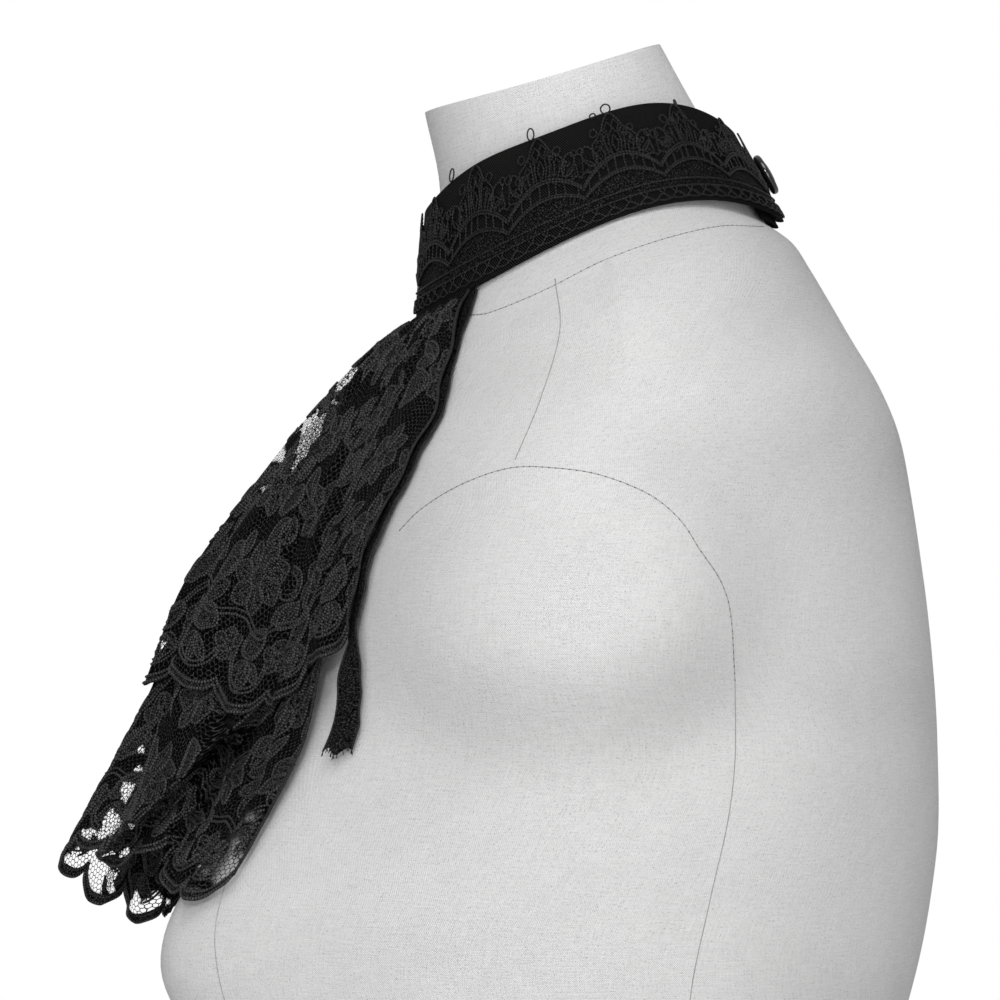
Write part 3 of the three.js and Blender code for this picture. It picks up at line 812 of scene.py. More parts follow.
def makeGuipure():
    g = guipure
    dice = random.Random(g["seed"])
    paths = []
    for repeat in range(-1, g["repeats"] + 2):
        for place, height, radius in guipureRepeat(dice):
            steps = np.linspace(0, len(place) - 1, max(len(place), 5))
            across = repeat + g["shift"] + np.interp(steps, np.arange(len(place)), place)
            across, rise = clipped(across, np.interp(steps, np.arange(len(height)), height))
            if len(across) > 2:
                middle, normal = layOnBand(across, rise, g["cordLift"] + radius)
                paths.append((middle, normal, radius))
    turn = np.linspace(0, 2 * np.pi, 21)
    for degrees, wide, tall in guipureLoops:
        across = degrees + wide * np.cos(turn) * 1.12
        rise = bandLook["height"] - 0.5 + tall * (1 + np.sin(turn))
        normal = bandNormals(across, rise)
        paths.append((bandPoints(across, rise, bandLook["wall"] + g["cordLift"]), normal, g["fine"] * 1.05))
    run = np.linspace(0, g["repeats"], 600)
    for height in (g["rail"], g["strip"]):
        middle, normal = layOnBand(run, np.full_like(run, height), g["railLift"])
        paths.append((middle, normal, g["fine"] * 1.2))
    cords = cordObject("guipureCords", paths, collarThread)
    # The stippled ground: a strip under the arches, and wedges over them
    grounds = []
    run = np.linspace(0, g["repeats"], g["repeats"] * g["groundSteps"] + 1)
    phase = (run - g["shift"]) % 1
    for name, low, high, rows in (
        ("guipureStrip", g["rail"] + 0 * phase, lowArch(phase), 8),
        ("guipureWedges", highArch(phase), fanTop(phase), 24),
    ):
        share = np.linspace(0, 1, rows)
        height = low[:, None] + (high - low)[:, None] * share
        across = np.broadcast_to(run[:, None], height.shape)
        points, _ = layOnBand(across, height, g["groundLift"])
        flat = np.stack([across * g["width"], height], -1)
        solid = np.full(height.shape, -1.0)
        if name == "guipureWedges":
            local = np.stack(np.broadcast_arrays(phase[:, None] * g["width"], height), -1)
            solid = solidField(local, [np.array(loop) * (g["width"], 1) for loop in guipureWedges])
        values = {"solid": solid, "sheer": 0 * solid, "backed": 0 * solid}
        grounds.append(sheetObject(name, points, flat, denseLace, values))
    return cords, grounds


guipureCords, guipureGrounds = makeGuipure()
print("collar made")

# The tiers hang from fold lines: neckX, hemX, hemOut, hemZ, tipX, tipOut, tipZ.
# The hem is the upper tier's and the tip the lower tier's.
foldLines = np.array([
    (41.0, 96, 5.0, 434, 111, 8, 352),
    (37.0, 88, 7.5, 428, 98, 9, 352),
    (32.5, 79, 8.0, 419, 87, 8, 350),
    (28.0, 70, 10, 412, 76, 7, 350),
    (23.5, 61, 15, 410, 66, 12.5, 360),
    (18.5, 50, 25, 414, 74, 20, 366),
    (13.5, 34, 38, 423, 60, 29, 359),
    (9.0, 21, 33, 427, 40, 41, 361),
    (4.5, 9, 30, 425, 19, 38, 364),
    (0.0, -3, 45, 418, 0, 56, 359),
    (-4.5, -14, 34, 421, -15, 48, 347),
    (-9.0, -23, 30, 420, -28, 39, 341),
    (-13.5, -34, 38, 416, -48, 33, 342),
    (-18.5, -47, 31, 412, -66, 19, 335),
    (-23.5, -58, 19, 411, -76, 10, 330),
    (-28.0, -68, 12, 414, -75, 6, 336),
    (-32.5, -79, 9, 422, -87, 8, 343),
    (-37.0, -89, 7.0, 430, -101, 7, 346),
    (-41.0, -97, 5.0, 436, -112, 8, 348),
])
# On the way from neck to hem (at): how far a line has gone aside, the same at the cloth's
# side edges, how far out it stands, and how much of its own fold it has
stages = np.array([
    (0, 0, 0, 0, 0),
    (0.15, 0.3, 0.37, 0.4, 0.06),
    (0.5, 0.72, 0.93, 0.81, 0.42),
    (0.74, 0.88, 0.99, 1.02, 0.7),
    (1, 1, 1, 1, 1),
])
tierLook = {
    "crestOut": 38, "edgeOut": 5, "crestSpread": 46, "leastOut": 4, "seamOut": 1.3,
    "gathers": 25, "gatherDepth": 1.2, "gatherFade": 0.36, "ripple": 1.3,
    "edgeSway": 0.9, "edgeReach": 4, "edgeDown": 1.6, "spread": 1.3, "neckSpread": 0.85, "neckReach": 0.08,
    "lobeDepth": 7, "curl": 0.9, "curlReach": 0.16, "cordStep": 1.26,
    "hemCords": ((0.75, 0.52), (3.1, 0.5)), "sideCord": 0.55, "sideLift": 0.3,
}
# The near flute of the lower tier bends under along this line, as (y, z), from top to bottom
bend = {"top": (-104.0, 411.0), "bottom": (-139.5, 378.0), "depth": 14, "sharp": 3.0, "clear": 10.0}


def foldPaths():
    neckX, hemX, hemOut, hemZ, tipX, tipOut, tipZ = foldLines.T
    look = tierLook
    angle = np.arcsin(neckX / (bandLow["half"] + look["seamOut"]))
    top = ringPoints(bandLow, angle, look["seamOut"])
    topZ = top[:, 2] - bandLook["gap"]
    topOut = chestY(top[:, 0], topZ) - top[:, 1]
    crest = np.exp(-((hemX / look["crestSpread"]) ** 2))
    stand = look["edgeOut"] + (look["crestOut"] - look["edgeOut"]) * crest
    toEdge = (neckX / foldLines[0, 0]) ** 2
    x, z, out = [], [], []
    for at, aside, edgeAside, share, fold in stages:
        x.append(neckX + (hemX - neckX) * (aside + (edgeAside - aside) * toEdge))
        z.append(topZ + (hemZ - topZ) * at)
        off = np.maximum(look["leastOut"], stand * share + (hemOut - stand) * fold)
        out.append(topOut if at == 0 else off)
    x.append(tipX)
    z.append(tipZ)
    out.append(tipOut)
    return [np.array(rows).T for rows in (x, z, out)]


pathX, pathZ, pathOut = foldPaths()
downStops = np.append(stages[:, 0], 2)
foldStops = np.linspace(0, 1, len(foldLines))


# The middle of the cloth, at a place across it (0 to 1) and down it (1 at the upper hem, 2 at the lower)
def clothMiddle(across, down):
    shape = np.broadcast(across, down).shape
    across = np.broadcast_to(across, shape).ravel()
    down = np.broadcast_to(down, shape).ravel()
    x, z, out = [
        through(foldStops, np.ascontiguousarray(through(downStops, rows, down).T), across, paired=True)
        for rows in (pathX, pathZ, pathOut)
    ]
    look = tierLook
    turn = 2 * np.pi
    sway = 0.35 * np.sin(across * 9.1 * turn)
    wave = 0.5 + 0.5 * np.sin(turn * (look["gathers"] * across + sway))
    gathered = 2 * look["gatherDepth"] * np.exp(-down / look["gatherFade"])
    gathered = gathered * wave**1.4 * ease(down, -0.02, 0.05)
    gathered = gathered * (1 - 0.6 * np.exp(-((across - 0.5) / 0.06) ** 2))
    ripple = np.sin(turn * (11.3 * across + 0.35 * np.sin(down * 5)))
    ripple = ripple + 0.5 * np.sin(turn * (19 * across + 1.7 * down))
    rippled = look["ripple"] * ripple * ease(down, 0.12, 0.5) * ease(np.abs(x), 12, 30)
    toSide = np.minimum(across, 1 - across)
    edge = np.exp(-((toSide / 0.03) ** 2)) * ease(down, 0.06, 0.2)
    x = x + np.sign(x) * edge * look["edgeSway"] * np.sin(turn * (down * 6.3 + across))
    x = x + np.sign(x) * look["edgeReach"] * ease(toSide, 0.05, 0) * ease(down, 0.03, 0.2)
    swayed = edge * (0.5 * np.sin(turn * (down * 4.7 + across)) - look["edgeDown"])
    y = chestY(x, z) - out - gathered - rippled * ease(out, 3, 9) - swayed
    return np.stack([x, y, z], -1).reshape(*shape, 3)


# The cloth under the bend is drawn in towards the middle
def bentUnder(points):
    top, bottom = np.array(bend["top"]), np.array(bend["bottom"])
    run = (bottom - top) / np.linalg.norm(bottom - top)
    place = points[..., 1:] - top
    under = place[..., 0] * -run[1] + place[..., 1] * run[0]
    along = place @ run
    standing = chestY(points[..., 0], points[..., 2]) - points[..., 1]
    clear = ease(standing, bend["clear"], bend["clear"] + 6)
    share = ease(under, 0, bend["sharp"]) * ease(along, -12, -2) * clear
    roll = np.exp(-(((under + 3) / 3.5) ** 2)) * ease(along, -8, 4) * ease(standing, 10, 16)
    near = ease(np.abs(points[..., 0]), 22, 42)
    moved = points.copy()
    moved[..., 0] -= np.sign(points[..., 0]) * near * (bend["depth"] * share - 2.5 * roll)
    return moved


# The cloth's length along a line across it, and places at even lengths along that
def evenAcross(first, last, down, count):
    fine = np.linspace(first, last, 600)
    run = runOf(clothMiddle(fine, down))
    return run[-1], np.interp(np.linspace(0, run[-1], count + 1), run, fine)


# Flat drawing of the lace: closed shapes that are worked solid, and cords that outline them
def placed(points, angle, middle):
    c, s = math.cos(angle), math.sin(angle)
    return np.stack([
        middle[0] + points[:, 0] * c - points[:, 1] * s,
        middle[1] + points[:, 0] * s + points[:, 1] * c,
    ], -1)


def leafShape(middle, angle, length, width, bend=0.0, start=0.0):
    t = np.linspace(0, 1, 12)
    half = width / 2 * np.sin(np.pi * t**0.85) ** 0.8
    spine = np.stack([start + length * t, bend * length * t**2], -1)
    side = np.stack([np.zeros_like(t), half], -1)
    loop = np.concatenate([spine + side, (spine - side)[::-1][1:-1]])
    return placed(loop, angle, middle), placed(spine[1:-2], angle, middle)


def roundPoints(middle, reach, turn):
    return np.stack([middle[0] + reach * np.cos(turn), middle[1] + reach * np.sin(turn)], -1)


def closed(loop):
    return np.concatenate([loop, loop[:1]])


def drawFlower(drawing, middle, radius, petals, turn):
    solids, cords = drawing
    for k in range(petals):
        angle = turn + 2 * math.pi * k / petals
        width = 2.1 * math.pi * radius * 0.62 / petals
        loop, vein = leafShape(middle, angle, radius * 0.78, width, 0.08, radius * 0.24)
        solids.append(loop)
        cords.append((closed(loop), 0.42))
        cords.append((vein, 0.24))
    heart = roundPoints(middle, radius * 0.25, np.linspace(0, 2 * np.pi, 15)[:-1])
    solids.append(heart)
    cords.append((closed(heart), 0.36))


def drawLeaf(drawing, middle, angle, length, width, bend):
    solids, cords = drawing
    loop, vein = leafShape(middle, angle, length, width, bend)
    solids.append(loop)
    cords.append((closed(loop), 0.4))
    cords.append((vein, 0.26))


def drawScroll(drawing, middle, angle, size, way):
    t = np.linspace(0, 1, 26)
    r = size * (1 - 0.82 * t)
    a = angle + way * t * 4.6
    line = roundPoints(middle, r, a)
    edge = roundPoints(middle, r - 2.4, a)
    drawing[0].append(np.concatenate([line[:17], edge[:17][::-1]]))
    drawing[1].append((line, 0.42))
    drawing[1].append((edge[:15], 0.3))


def drawPatch(drawing, middle, radius, turn, bumps):
    angle = np.linspace(0, 2 * np.pi, bumps * 9 + 1)
    oval = 1 + 0.18 * np.cos(2 * angle + turn)
    reach = radius * oval * (0.86 + 0.14 * np.abs(np.sin(bumps * angle / 2)))
    line = roundPoints(middle, reach, angle)
    drawing[0].append(line[:-1])
    drawing[1].append((line, 0.5))
    inner = middle + (line - middle) * 0.82
    drawing[1].append((inner, 0.34))


laceDrawing = {
    "firstRow": 45.0, "rowStep": 30, "flowerStep": 41, "radius": 13.5, "petals": 7,
    "leaves": 4, "leafFrom": 14, "patches": 0.55, "scroll": 8.5,
}


# One tier's lace: a motif in each lobe of the hem, two waves of cord over them, and rows of flowers
def drawLace(length, height, lobes, seed):
    look = laceDrawing
    dice = random.Random(seed)
    pitch = length / lobes
    drawing = ([], [])
    for k in range(lobes):
        middle = ((k + 0.5) * pitch, 18.5)
        for tip in (-40, 0, 40):
            drawLeaf(drawing, middle, math.radians(-90 + tip), 11.2 - abs(tip) * 0.03, 4.4, tip / 400)
        turn = np.radians(np.linspace(190, 350, 19))
        for reach in (12.6 * 0.9, 14.4 * 0.9):
            bow = [middle[0] + reach * np.cos(turn) * 0.84, middle[1] + 2 + reach * np.sin(turn)]
            drawing[1].append((np.stack(bow, -1), 0.45))
        drawFlower(drawing, (k * pitch, 21.5), 6.4, 5, dice.uniform(0, 2))
        drawPatch(drawing, np.array((middle[0], 25.0)), 5.6, dice.uniform(0, 2), 5)
    wave = np.linspace(0, length, int(length / 1.5))
    for lift, thick in ((29.4, 0.5), (31.4, 0.4)):
        line = lift + 2.6 * np.cos(2 * np.pi * wave / pitch)
        drawing[1].append((np.stack([wave, line], -1), thick))
    row = 0
    v = look["firstRow"]
    while v < height + 8:
        count = int(length / look["flowerStep"]) + 2
        for k in range(count):
            u = (k + 0.5 * (row % 2)) * look["flowerStep"] + dice.uniform(-3, 3)
            middle = (u, v + dice.uniform(-2.5, 2.5))
            radius = look["radius"] * dice.uniform(0.85, 1.1)
            drawFlower(drawing, middle, radius, look["petals"], dice.uniform(0, 2))
            for _ in range(look["leaves"]):
                angle = dice.uniform(0, 2 * math.pi)
                start = roundPoints(middle, look["leafFrom"], angle)
                lean = angle + dice.uniform(-0.9, 0.9)
                size = (dice.uniform(10, 15), dice.uniform(5, 7.5))
                drawLeaf(drawing, start, lean, *size, dice.uniform(-0.3, 0.3))
            beside = np.array((u + look["flowerStep"] / 2, v + dice.uniform(-4, 4)))
            if dice.random() < look["patches"]:
                drawPatch(drawing, beside, dice.uniform(6, 8.5), dice.uniform(0, 3), dice.choice((5, 6, 7)))
            else:
                drawScroll(drawing, beside, dice.uniform(0, 6), look["scroll"], dice.choice((-1, 1)))
        row += 1
        v += look["rowStep"]
    return drawing


# Windows of fine net, seen against the light from the side: y, z, half length, half width, lean.
# Around them the cloth is one fold thick, so its own holes let light through too.
thinPlaces = [
    (-84.0, 508.0, 22.0, 4.5, 58), (-159.0, 361.0, 13.0, 8.0, 62),
    (-114.0, 357.0, 8.5, 3.8, 66), (-139.0, 342.0, 6.0, 4.0, -30),
]
windows = [
    (-73.8, 525.2, 5.2, 2.4, 60), (-77.6, 516.6, 1.5, 1.2, 0), (-86.6, 504.5, 10.3, 2.9, 64),
    (-96.9, 498.3, 3.2, 2.4, 50), (-102.0, 486.9, 1.8, 1.2, 30), (-136.9, 432.5, 2.2, 0.9, 70),
    (-144.3, 396.6, 1.5, 1.4, 0), (-145.2, 390.0, 1.8, 1.1, 0), (-149.4, 382.5, 3.7, 2.1, 75),
    (-155.2, 370.4, 5.4, 3.1, 60), (-163.2, 367.0, 3.0, 2.2, 60), (-168.0, 357.6, 4.0, 2.6, 0),
    (-159.0, 353.5, 6.8, 5.4, 80), (-139.3, 339.7, 3.6, 2.3, -35), (-146.5, 343.0, 3.4, 2.2, 80),
    (-147.6, 370.4, 1.4, 1.1, 0),
    (-150.0, 361.0, 2.2, 1.6, 0), (-107.2, 374.2, 2.8, 2.2, 0), (-112.4, 365.6, 3.4, 1.5, 70),
    (-115.5, 354.9, 6.4, 3.2, 70), (-122.4, 355.6, 2.2, 1.8, 0), (-128.0, 348.0, 2.6, 1.4, 0),
]


# How far the cloth is open at each point, 1 in the middle of a place
def openness(points, places):
    depth = 1 - points[..., 0] * mm / view["distance"]
    y = view["centreY"] / mm + (points[..., 1] - view["centreY"] / mm) / depth
    z = view["centreZ"] / mm + (points[..., 2] - view["centreZ"] / mm) / depth
    found = np.zeros(y.shape)
    for atY, atZ, long, wide, lean in places:
        c, s = math.cos(math.radians(lean)), math.sin(math.radians(lean))
        a, b = (y - atY) * c + (z - atZ) * s, (z - atZ) * c - (y - atY) * s
        around = np.arctan2(b / wide, a / long)
        ragged = 1 + 0.2 * np.sin(3 * around + atY) + 0.13 * np.sin(7 * around + atZ)
        found = np.maximum(found, 1 - ease(np.hypot(a / long, b / wide) * ragged, 0.75, 1.2))
    return found


# One tier, from first to last across the cloth and down to hemDown, on one side of its middle.
# A drop is how far the cloth falls there for 1 of down.
def makeTier(name, first, last, hemDown, side, drop, lobes, seed, perLobe, rows):
    look = tierLook
    columns = lobes * perLobe
    length, places = evenAcross(first, last, hemDown, columns)
    f = (np.arange(columns + 1) % perLobe) / perLobe
    lobe = np.sin(np.pi * f) ** 0.6
    end = hemDown - (1 - lobe) * look["lobeDepth"] / drop
    down = end[:, None] * np.linspace(0, 1, rows + 1)
    points = clothMiddle(places[:, None], down)
    if side < 0:
        points = bentUnder(points)
    normal = unit(np.cross(np.gradient(points, axis=0), np.gradient(points, axis=1)))
    offNeck = ease(down, 0, look["neckReach"])
    normal[..., 2] *= offNeck
    normal = unit(normal)
    spread = look["neckSpread"] + (look["spread"] - look["neckSpread"]) * offNeck
    nearHem = ease(down, hemDown - look["curlReach"], hemDown)
    wave = np.sin(2 * np.pi * places[:, None] * 31) * 0.5 + lobe[:, None] * 0.8 - 0.4
    points = points + normal * (side * spread + look["curl"] * nearHem * wave)[..., None]
    run = runOf(points, 1)
    edge = look["lobeDepth"] * (1 - lobe)
    v = edge[:, None] + run[:, -1:] - run
    u = np.broadcast_to(np.linspace(0, length, columns + 1)[:, None], v.shape)
    flat = np.stack([u, v], -1)
    height = float(v.max())
    solids, cords = drawLace(length, height, lobes, seed)
    inside = ease(v - edge[:, None], 3.2, 4.6)
    clear = openness(points, windows) * inside
    solid = solidField(flat, solids) + clear * 7
    solid = np.minimum(solid, (v - edge[:, None]) - 4.0)
    # Away from the windows and thin places the holes are filled near-black: folds of lace behind, and
    # painted shade on the form under the net
    backed = 1 - ease(openness(points, windows + thinPlaces) * inside, 0.3, 0.5)
    values = {"solid": solid, "sheer": clear, "backed": backed}
    cloth = sheetObject(name, points, flat, tierLace, values)
    # Cords are laid through a table of the cloth at even steps up from the hem
    steps = np.arange(0, height + 2, 1.0)
    table = np.empty((columns + 1, len(steps), 7))
    for i in range(columns + 1):
        order = v[i, ::-1]
        table[i, :, 6] = np.interp(steps, order, clear[i, ::-1])
        for k in range(3):
            table[i, :, k] = np.interp(steps, order, points[i, ::-1, k])
            table[i, :, 3 + k] = np.interp(steps, order, normal[i, ::-1, k])

    def lay(line, radius, lift):
        ends = runOf(line)
        at = np.linspace(0, ends[-1], max(3, int(ends[-1] / look["cordStep"])))
        lu = np.interp(at, ends, line[:, 0])
        lv = np.interp(at, ends, line[:, 1])
        i = lu / length * columns
        edgeHere = np.interp(lu, u[:, 0], edge)
        top = np.interp(lu, u[:, 0], v[:, 0])
        good = (i >= 0.5) & (i <= columns - 0.5) & (lv > edgeHere + 0.6) & (lv < top - 3)
        found = between(table, np.clip(i, 0, columns - 1.001), lv)
        place, out = found[:, :3], unit(found[:, 3:6])
        good = good & (found[:, 6] < 0.5)
        paths = []
        for piece in np.split(np.arange(len(at)), np.where(~good)[0]):
            piece = piece[good[piece]]
            if len(piece) > 2:
                paths.append((place[piece] + out[piece] * lift, out[piece], radius))
        return paths

    paths = []
    for line, radius in cords:
        paths += lay(line, radius, radius * 0.35)
    raised = cordObject(name + "Cords", paths, cordThread, 5)
    hem = []
    for inset, radius in look["hemCords"]:
        hem += lay(np.stack([u[:, 0], edge + inset], -1), radius, radius * 0.5)
    border = cordObject(name + "Border", hem, cordThread, 6)
    # The side edges are turned in a narrow hem
    sides = [(points[i] + normal[i] * look["sideLift"], normal[i], look["sideCord"]) for i in (0, columns)]
    sideHem = cordObject(name + "SideHem", sides, fineThread, 6)
    across, along = np.diff(points, axis=0)[:, :-1], np.diff(points, axis=1)[:-1]
    area = float(np.linalg.norm(np.cross(across, along), axis=2).sum())
    print(name, "hem", round(length), "mm, height", round(height), "mm, area", round(area / 100), "cm2")
    return {"cloth": cloth, "extras": [raised, border, sideHem], "size": (length, height), "area": area}


# The lower tier is one fold line narrower on each side
inset = 1 / (len(foldLines) - 1)
upper = makeTier(
    "upperLace", first=0, last=1, hemDown=1, side=1, drop=127.0, lobes=11, seed=5, perLobe=26, rows=128,
)
lower = makeTier(
    "lowerLace", first=inset, last=1 - inset, hemDown=2, side=-1, drop=66.0,
    lobes=12, seed=8, perLobe=26, rows=180,
)
print("tiers made")

# Narrow facings down the sides, with a frayed end
facingLook = {
    "width": 6.2, "under": 3.7, "off": 2.7, "bottom": 401, "tail": 0.22, "end": 1.22, "tailAside": 3.4,
    "tailTurn": 3.4, "fray": 26, "frayed": 0.7, "columns": 8, "rows": 150,
}


def makeFacing(name, edge, seed):
    look = facingLook
    dice = random.Random(seed)
    rows, columns = look["rows"], look["columns"]
    away = 1 if edge == 0 else -1
    radius = bandLow["half"] + tierLook["seamOut"]
    start = math.asin(foldLines[0, 0] / radius)
    hemZ = clothMiddle(np.array([float(edge)]), np.array([1.0]))[0, 2]
    down = np.linspace(0, look["end"], rows + 1)[None, :]
    share = np.linspace(0, 1, columns + 1)[:, None]
    wobble = 0.35 * np.sin(down * 41 + seed) + 0.25 * np.sin(down * 93)
    aside = (look["width"] + wobble) * share - look["under"]
    angle = away * (start + (aside + 0.3) / radius)
    top = ringPoints(bandLow, angle, tierLook["seamOut"])
    top[..., 2] -= bandLook["gap"]
    middle = clothMiddle(np.full(down.shape, float(edge)), np.minimum(down, 1))
    x = middle[..., 0] + away * (aside + look["tailAside"] * ease(down, 0.9, look["end"]))
    tail = hemZ + (look["bottom"] - hemZ) * (down - 1) / look["tail"]
    z = np.where(down > 1, tail, middle[..., 2])
    z = z - 2.2 * (down / look["end"]) ** 12 * (np.sin(share * 9 + seed) * 0.6 + 0.4)
    ripple = 0.3 * np.sin(down * 26 + share * 2)
    y = chestY(x, z) - look["off"] - ripple - 0.5 * np.cos((share - 0.5) * math.pi)
    y = y - look["tailTurn"] * (1 - share) * ease(down, 0.97, 1.08)
    low = np.stack([x, y, z], -1)
    blend = ease(down, 0, 0.3)[..., None]
    points = top * (1 - blend) + low * blend
    run = runOf(points[columns // 2])
    flat = np.stack(np.broadcast_arrays(aside, run), -1)
    values = {"solid": np.full(points.shape[:2], -1.0), "backed": np.ones(points.shape[:2])}
    strip = sheetObject(name, points, flat, facingNet, values, flipped=away > 0)
    normal = np.broadcast_to([0.0, -1.0, 0.0], points.shape)
    paths = []
    for _ in range(look["fray"]):
        i = dice.randrange(columns + 1)
        foot = points[i, -1]
        t = np.linspace(0, 1, 6)[:, None]
        lean = np.array([dice.uniform(-1, 1), dice.uniform(-0.6, 0.2), -dice.uniform(0.6, 1.8)])
        swing = np.array([dice.uniform(-0.8, 0.8), 0, 0])
        paths.append((foot + lean * t + swing * t**2, normal[i, :6], 0.14))
    for i in (0, columns):
        for k in range(20, rows, 5):
            if dice.random() < look["frayed"]:
                t = np.linspace(0, 1, 4)[:, None]
                way = away if i else -away
                lean = np.array([way * dice.uniform(0.5, 1.1), -0.2, dice.uniform(-0.9, 0.6)])
                paths.append((points[i, k] + lean * t, normal[i, :4], 0.12))
    fray = cordObject(name + "Fray", paths, fineThread, 4)
    edges = [(points[i], normal[i], 0.38) for i in (0, columns)]
    rail = cordObject(name + "Edge", edges, fineThread, 5)
    return {"cloth": strip, "extras": [fray, rail], "size": (look["width"], float(run[-1]))}


leftFacing = makeFacing("leftFacing", edge=0, seed=3)
rightFacing = makeFacing("rightFacing", edge=1, seed=7)
print("facings made")

# Button, at a place round the collar in degrees and a share of its height
buttonLook = {"radius": 7.5, "height": 3.2, "at": 182, "up": 0.52, "sides": 72}


def makeButton():
    r, h = buttonLook["radius"], buttonLook["height"]
    section = [
        (0, 0), (r - 1.2, 0), (r - 0.3, 0.3), (r, 0.9), (r, 1.7), (r - 0.25, 2.15), (r - 0.8, 2.5),
        (r - 1.4, 2.5), (r - 1.9, 2.3), (r - 2.3, 2.35), (r - 2.9, 2.75), (r - 4.2, 3.02),
        (r - 5.8, 3.16), (0, h),
    ]
    at, high = np.array(float(buttonLook["at"])), np.array(bandLook["height"] * buttonLook["up"])
    middle = bandPoints(at, high, bandDepth)
    normal = bandNormals(at, high)
    aside = unit(np.cross(normal, [0.0, 0.0, 1.0]))
    up = np.cross(aside, normal)
    turn = np.linspace(0, 2 * np.pi, buttonLook["sides"] + 1)[:, None, None]
    radius = np.array([s[0] for s in section])[None, :, None]
    rise = np.array([s[1] for s in section])[None, :, None]
    points = middle + radius * (np.cos(turn) * aside + np.sin(turn) * up) + rise * normal
    columns, rows = points.shape[:2]
    ring = np.arange((columns - 1) * (rows - 2)).reshape(columns - 1, rows - 2) + 2
    vertices = [points[0, 0], points[0, -1]] + list(points[:-1, 1:-1].reshape(-1, 3))
    faces = []
    for i in range(columns - 1):
        k = (i + 1) % (columns - 1)
        faces.append((0, int(ring[i, 0]), int(ring[k, 0])))
        faces.append((1, int(ring[k, -1]), int(ring[i, -1])))
        for j in range(rows - 3):
            faces.append((int(ring[i, j]), int(ring[i, j + 1]), int(ring[k, j + 1]), int(ring[k, j])))
    return makeObject("domedButton", vertices, faces, gloss)


button = makeButton()


# The form's seams: a thin dark line along each, painted shade in its groove, and dark beads on some,
# painted shade of the stitch holes
seamLook = {
    "step": 2, "lift": 0.02, "crease": 0.19, "middleZ": 440, "backFrom": 14, "backTo": 576,
    "spacing": 2.5, "length": 0.95, "thickness": 0.46, "stitched": ("neck", "armhole"),
}


# Stitches along a line: small capsules set end to end by a node tree
def stitchTree():
    tree = bpy.data.node_groups.new("stitches", "GeometryNodeTree")
    face = tree.interface
    face.new_socket("Geometry", in_out="INPUT", socket_type="NodeSocketGeometry")
    for name, value in (("Spacing", 0.003), ("Length", 0.0018), ("Thickness", 0.0004)):
        socket = face.new_socket(name, in_out="INPUT", socket_type="NodeSocketFloat")
        socket.default_value = value
    face.new_socket("Thread", in_out="INPUT", socket_type="NodeSocketMaterial")
    face.new_socket("Geometry", in_out="OUTPUT", socket_type="NodeSocketGeometry")
    nodes = tree.nodes
    given = nodes.new("NodeGroupInput")
    line = nodes.new("GeometryNodeMeshToCurve")
    even = nodes.new("GeometryNodeResampleCurve")
    even.mode = "LENGTH"
    bead = nodes.new("GeometryNodeMeshIcoSphere")
    bead.inputs["Radius"].default_value = 0.5
    bead.inputs["Subdivisions"].default_value = 2
    size = nodes.new("ShaderNodeCombineXYZ")
    place = nodes.new("GeometryNodeInstanceOnPoints")
    tangent = nodes.new("GeometryNodeInputTangent")
    aim = nodes.new("FunctionNodeAlignEulerToVector")
    aim.axis = "X"
    real = nodes.new("GeometryNodeRealizeInstances")
    soft = nodes.new("GeometryNodeSetShadeSmooth")
    paint = nodes.new("GeometryNodeSetMaterial")
    done = nodes.new("NodeGroupOutput")
    for begin, out, finish, into in (
        (given, "Geometry", line, "Mesh"), (line, 0, even, "Curve"), (given, "Spacing", even, "Length"),
        (even, 0, place, "Points"), (bead, "Mesh", place, "Instance"), (tangent, 0, aim, "Vector"),
        (aim, 0, place, "Rotation"), (given, "Length", size, 0), (given, "Thickness", size, 1),
        (given, "Thickness", size, 2), (size, 0, place, "Scale"), (place, 0, real, 0), (real, 0, soft, 0),
        (soft, 0, paint, "Geometry"), (given, "Thread", paint, "Material"), (paint, 0, done, 0),
    ):
        tree.links.new(begin.outputs[out], finish.inputs[into])
    return tree


stitches = stitchTree()


def stitchObject(name, lines, material):
    points, edges = [], []
    for line in lines:
        edges += [(len(points) + k, len(points) + k + 1) for k in range(len(line) - 1)]
        points += [list(p) for p in line]
    mesh = bpy.data.meshes.new(name)
    mesh.from_pydata((np.array(points) * mm).tolist(), edges, [])
    guide = bpy.data.objects.new(name + "Guide", mesh)
    scene.collection.objects.link(guide)
    modifier = guide.modifiers.new("stitches", "NODES")
    modifier.node_group = stitches
    sockets = [item for item in stitches.interface.items_tree if item.in_out == "INPUT"]
    inputs = {socket.name: socket.identifier for socket in sockets}
    for key in ("Spacing", "Length", "Thickness"):
        modifier[inputs[key]] = seamLook[key.lower()] * mm
    modifier[inputs["Thread"]] = material
    bpy.context.view_layer.update()
    real = bpy.data.meshes.new_from_object(guide.evaluated_get(bpy.context.evaluated_depsgraph_get()))
    bpy.data.objects.remove(guide)
    thing = bpy.data.objects.new(name, real)
    scene.collection.objects.link(thing)
    addValues(thing, "along", np.zeros(len(real.vertices)))
    return thing


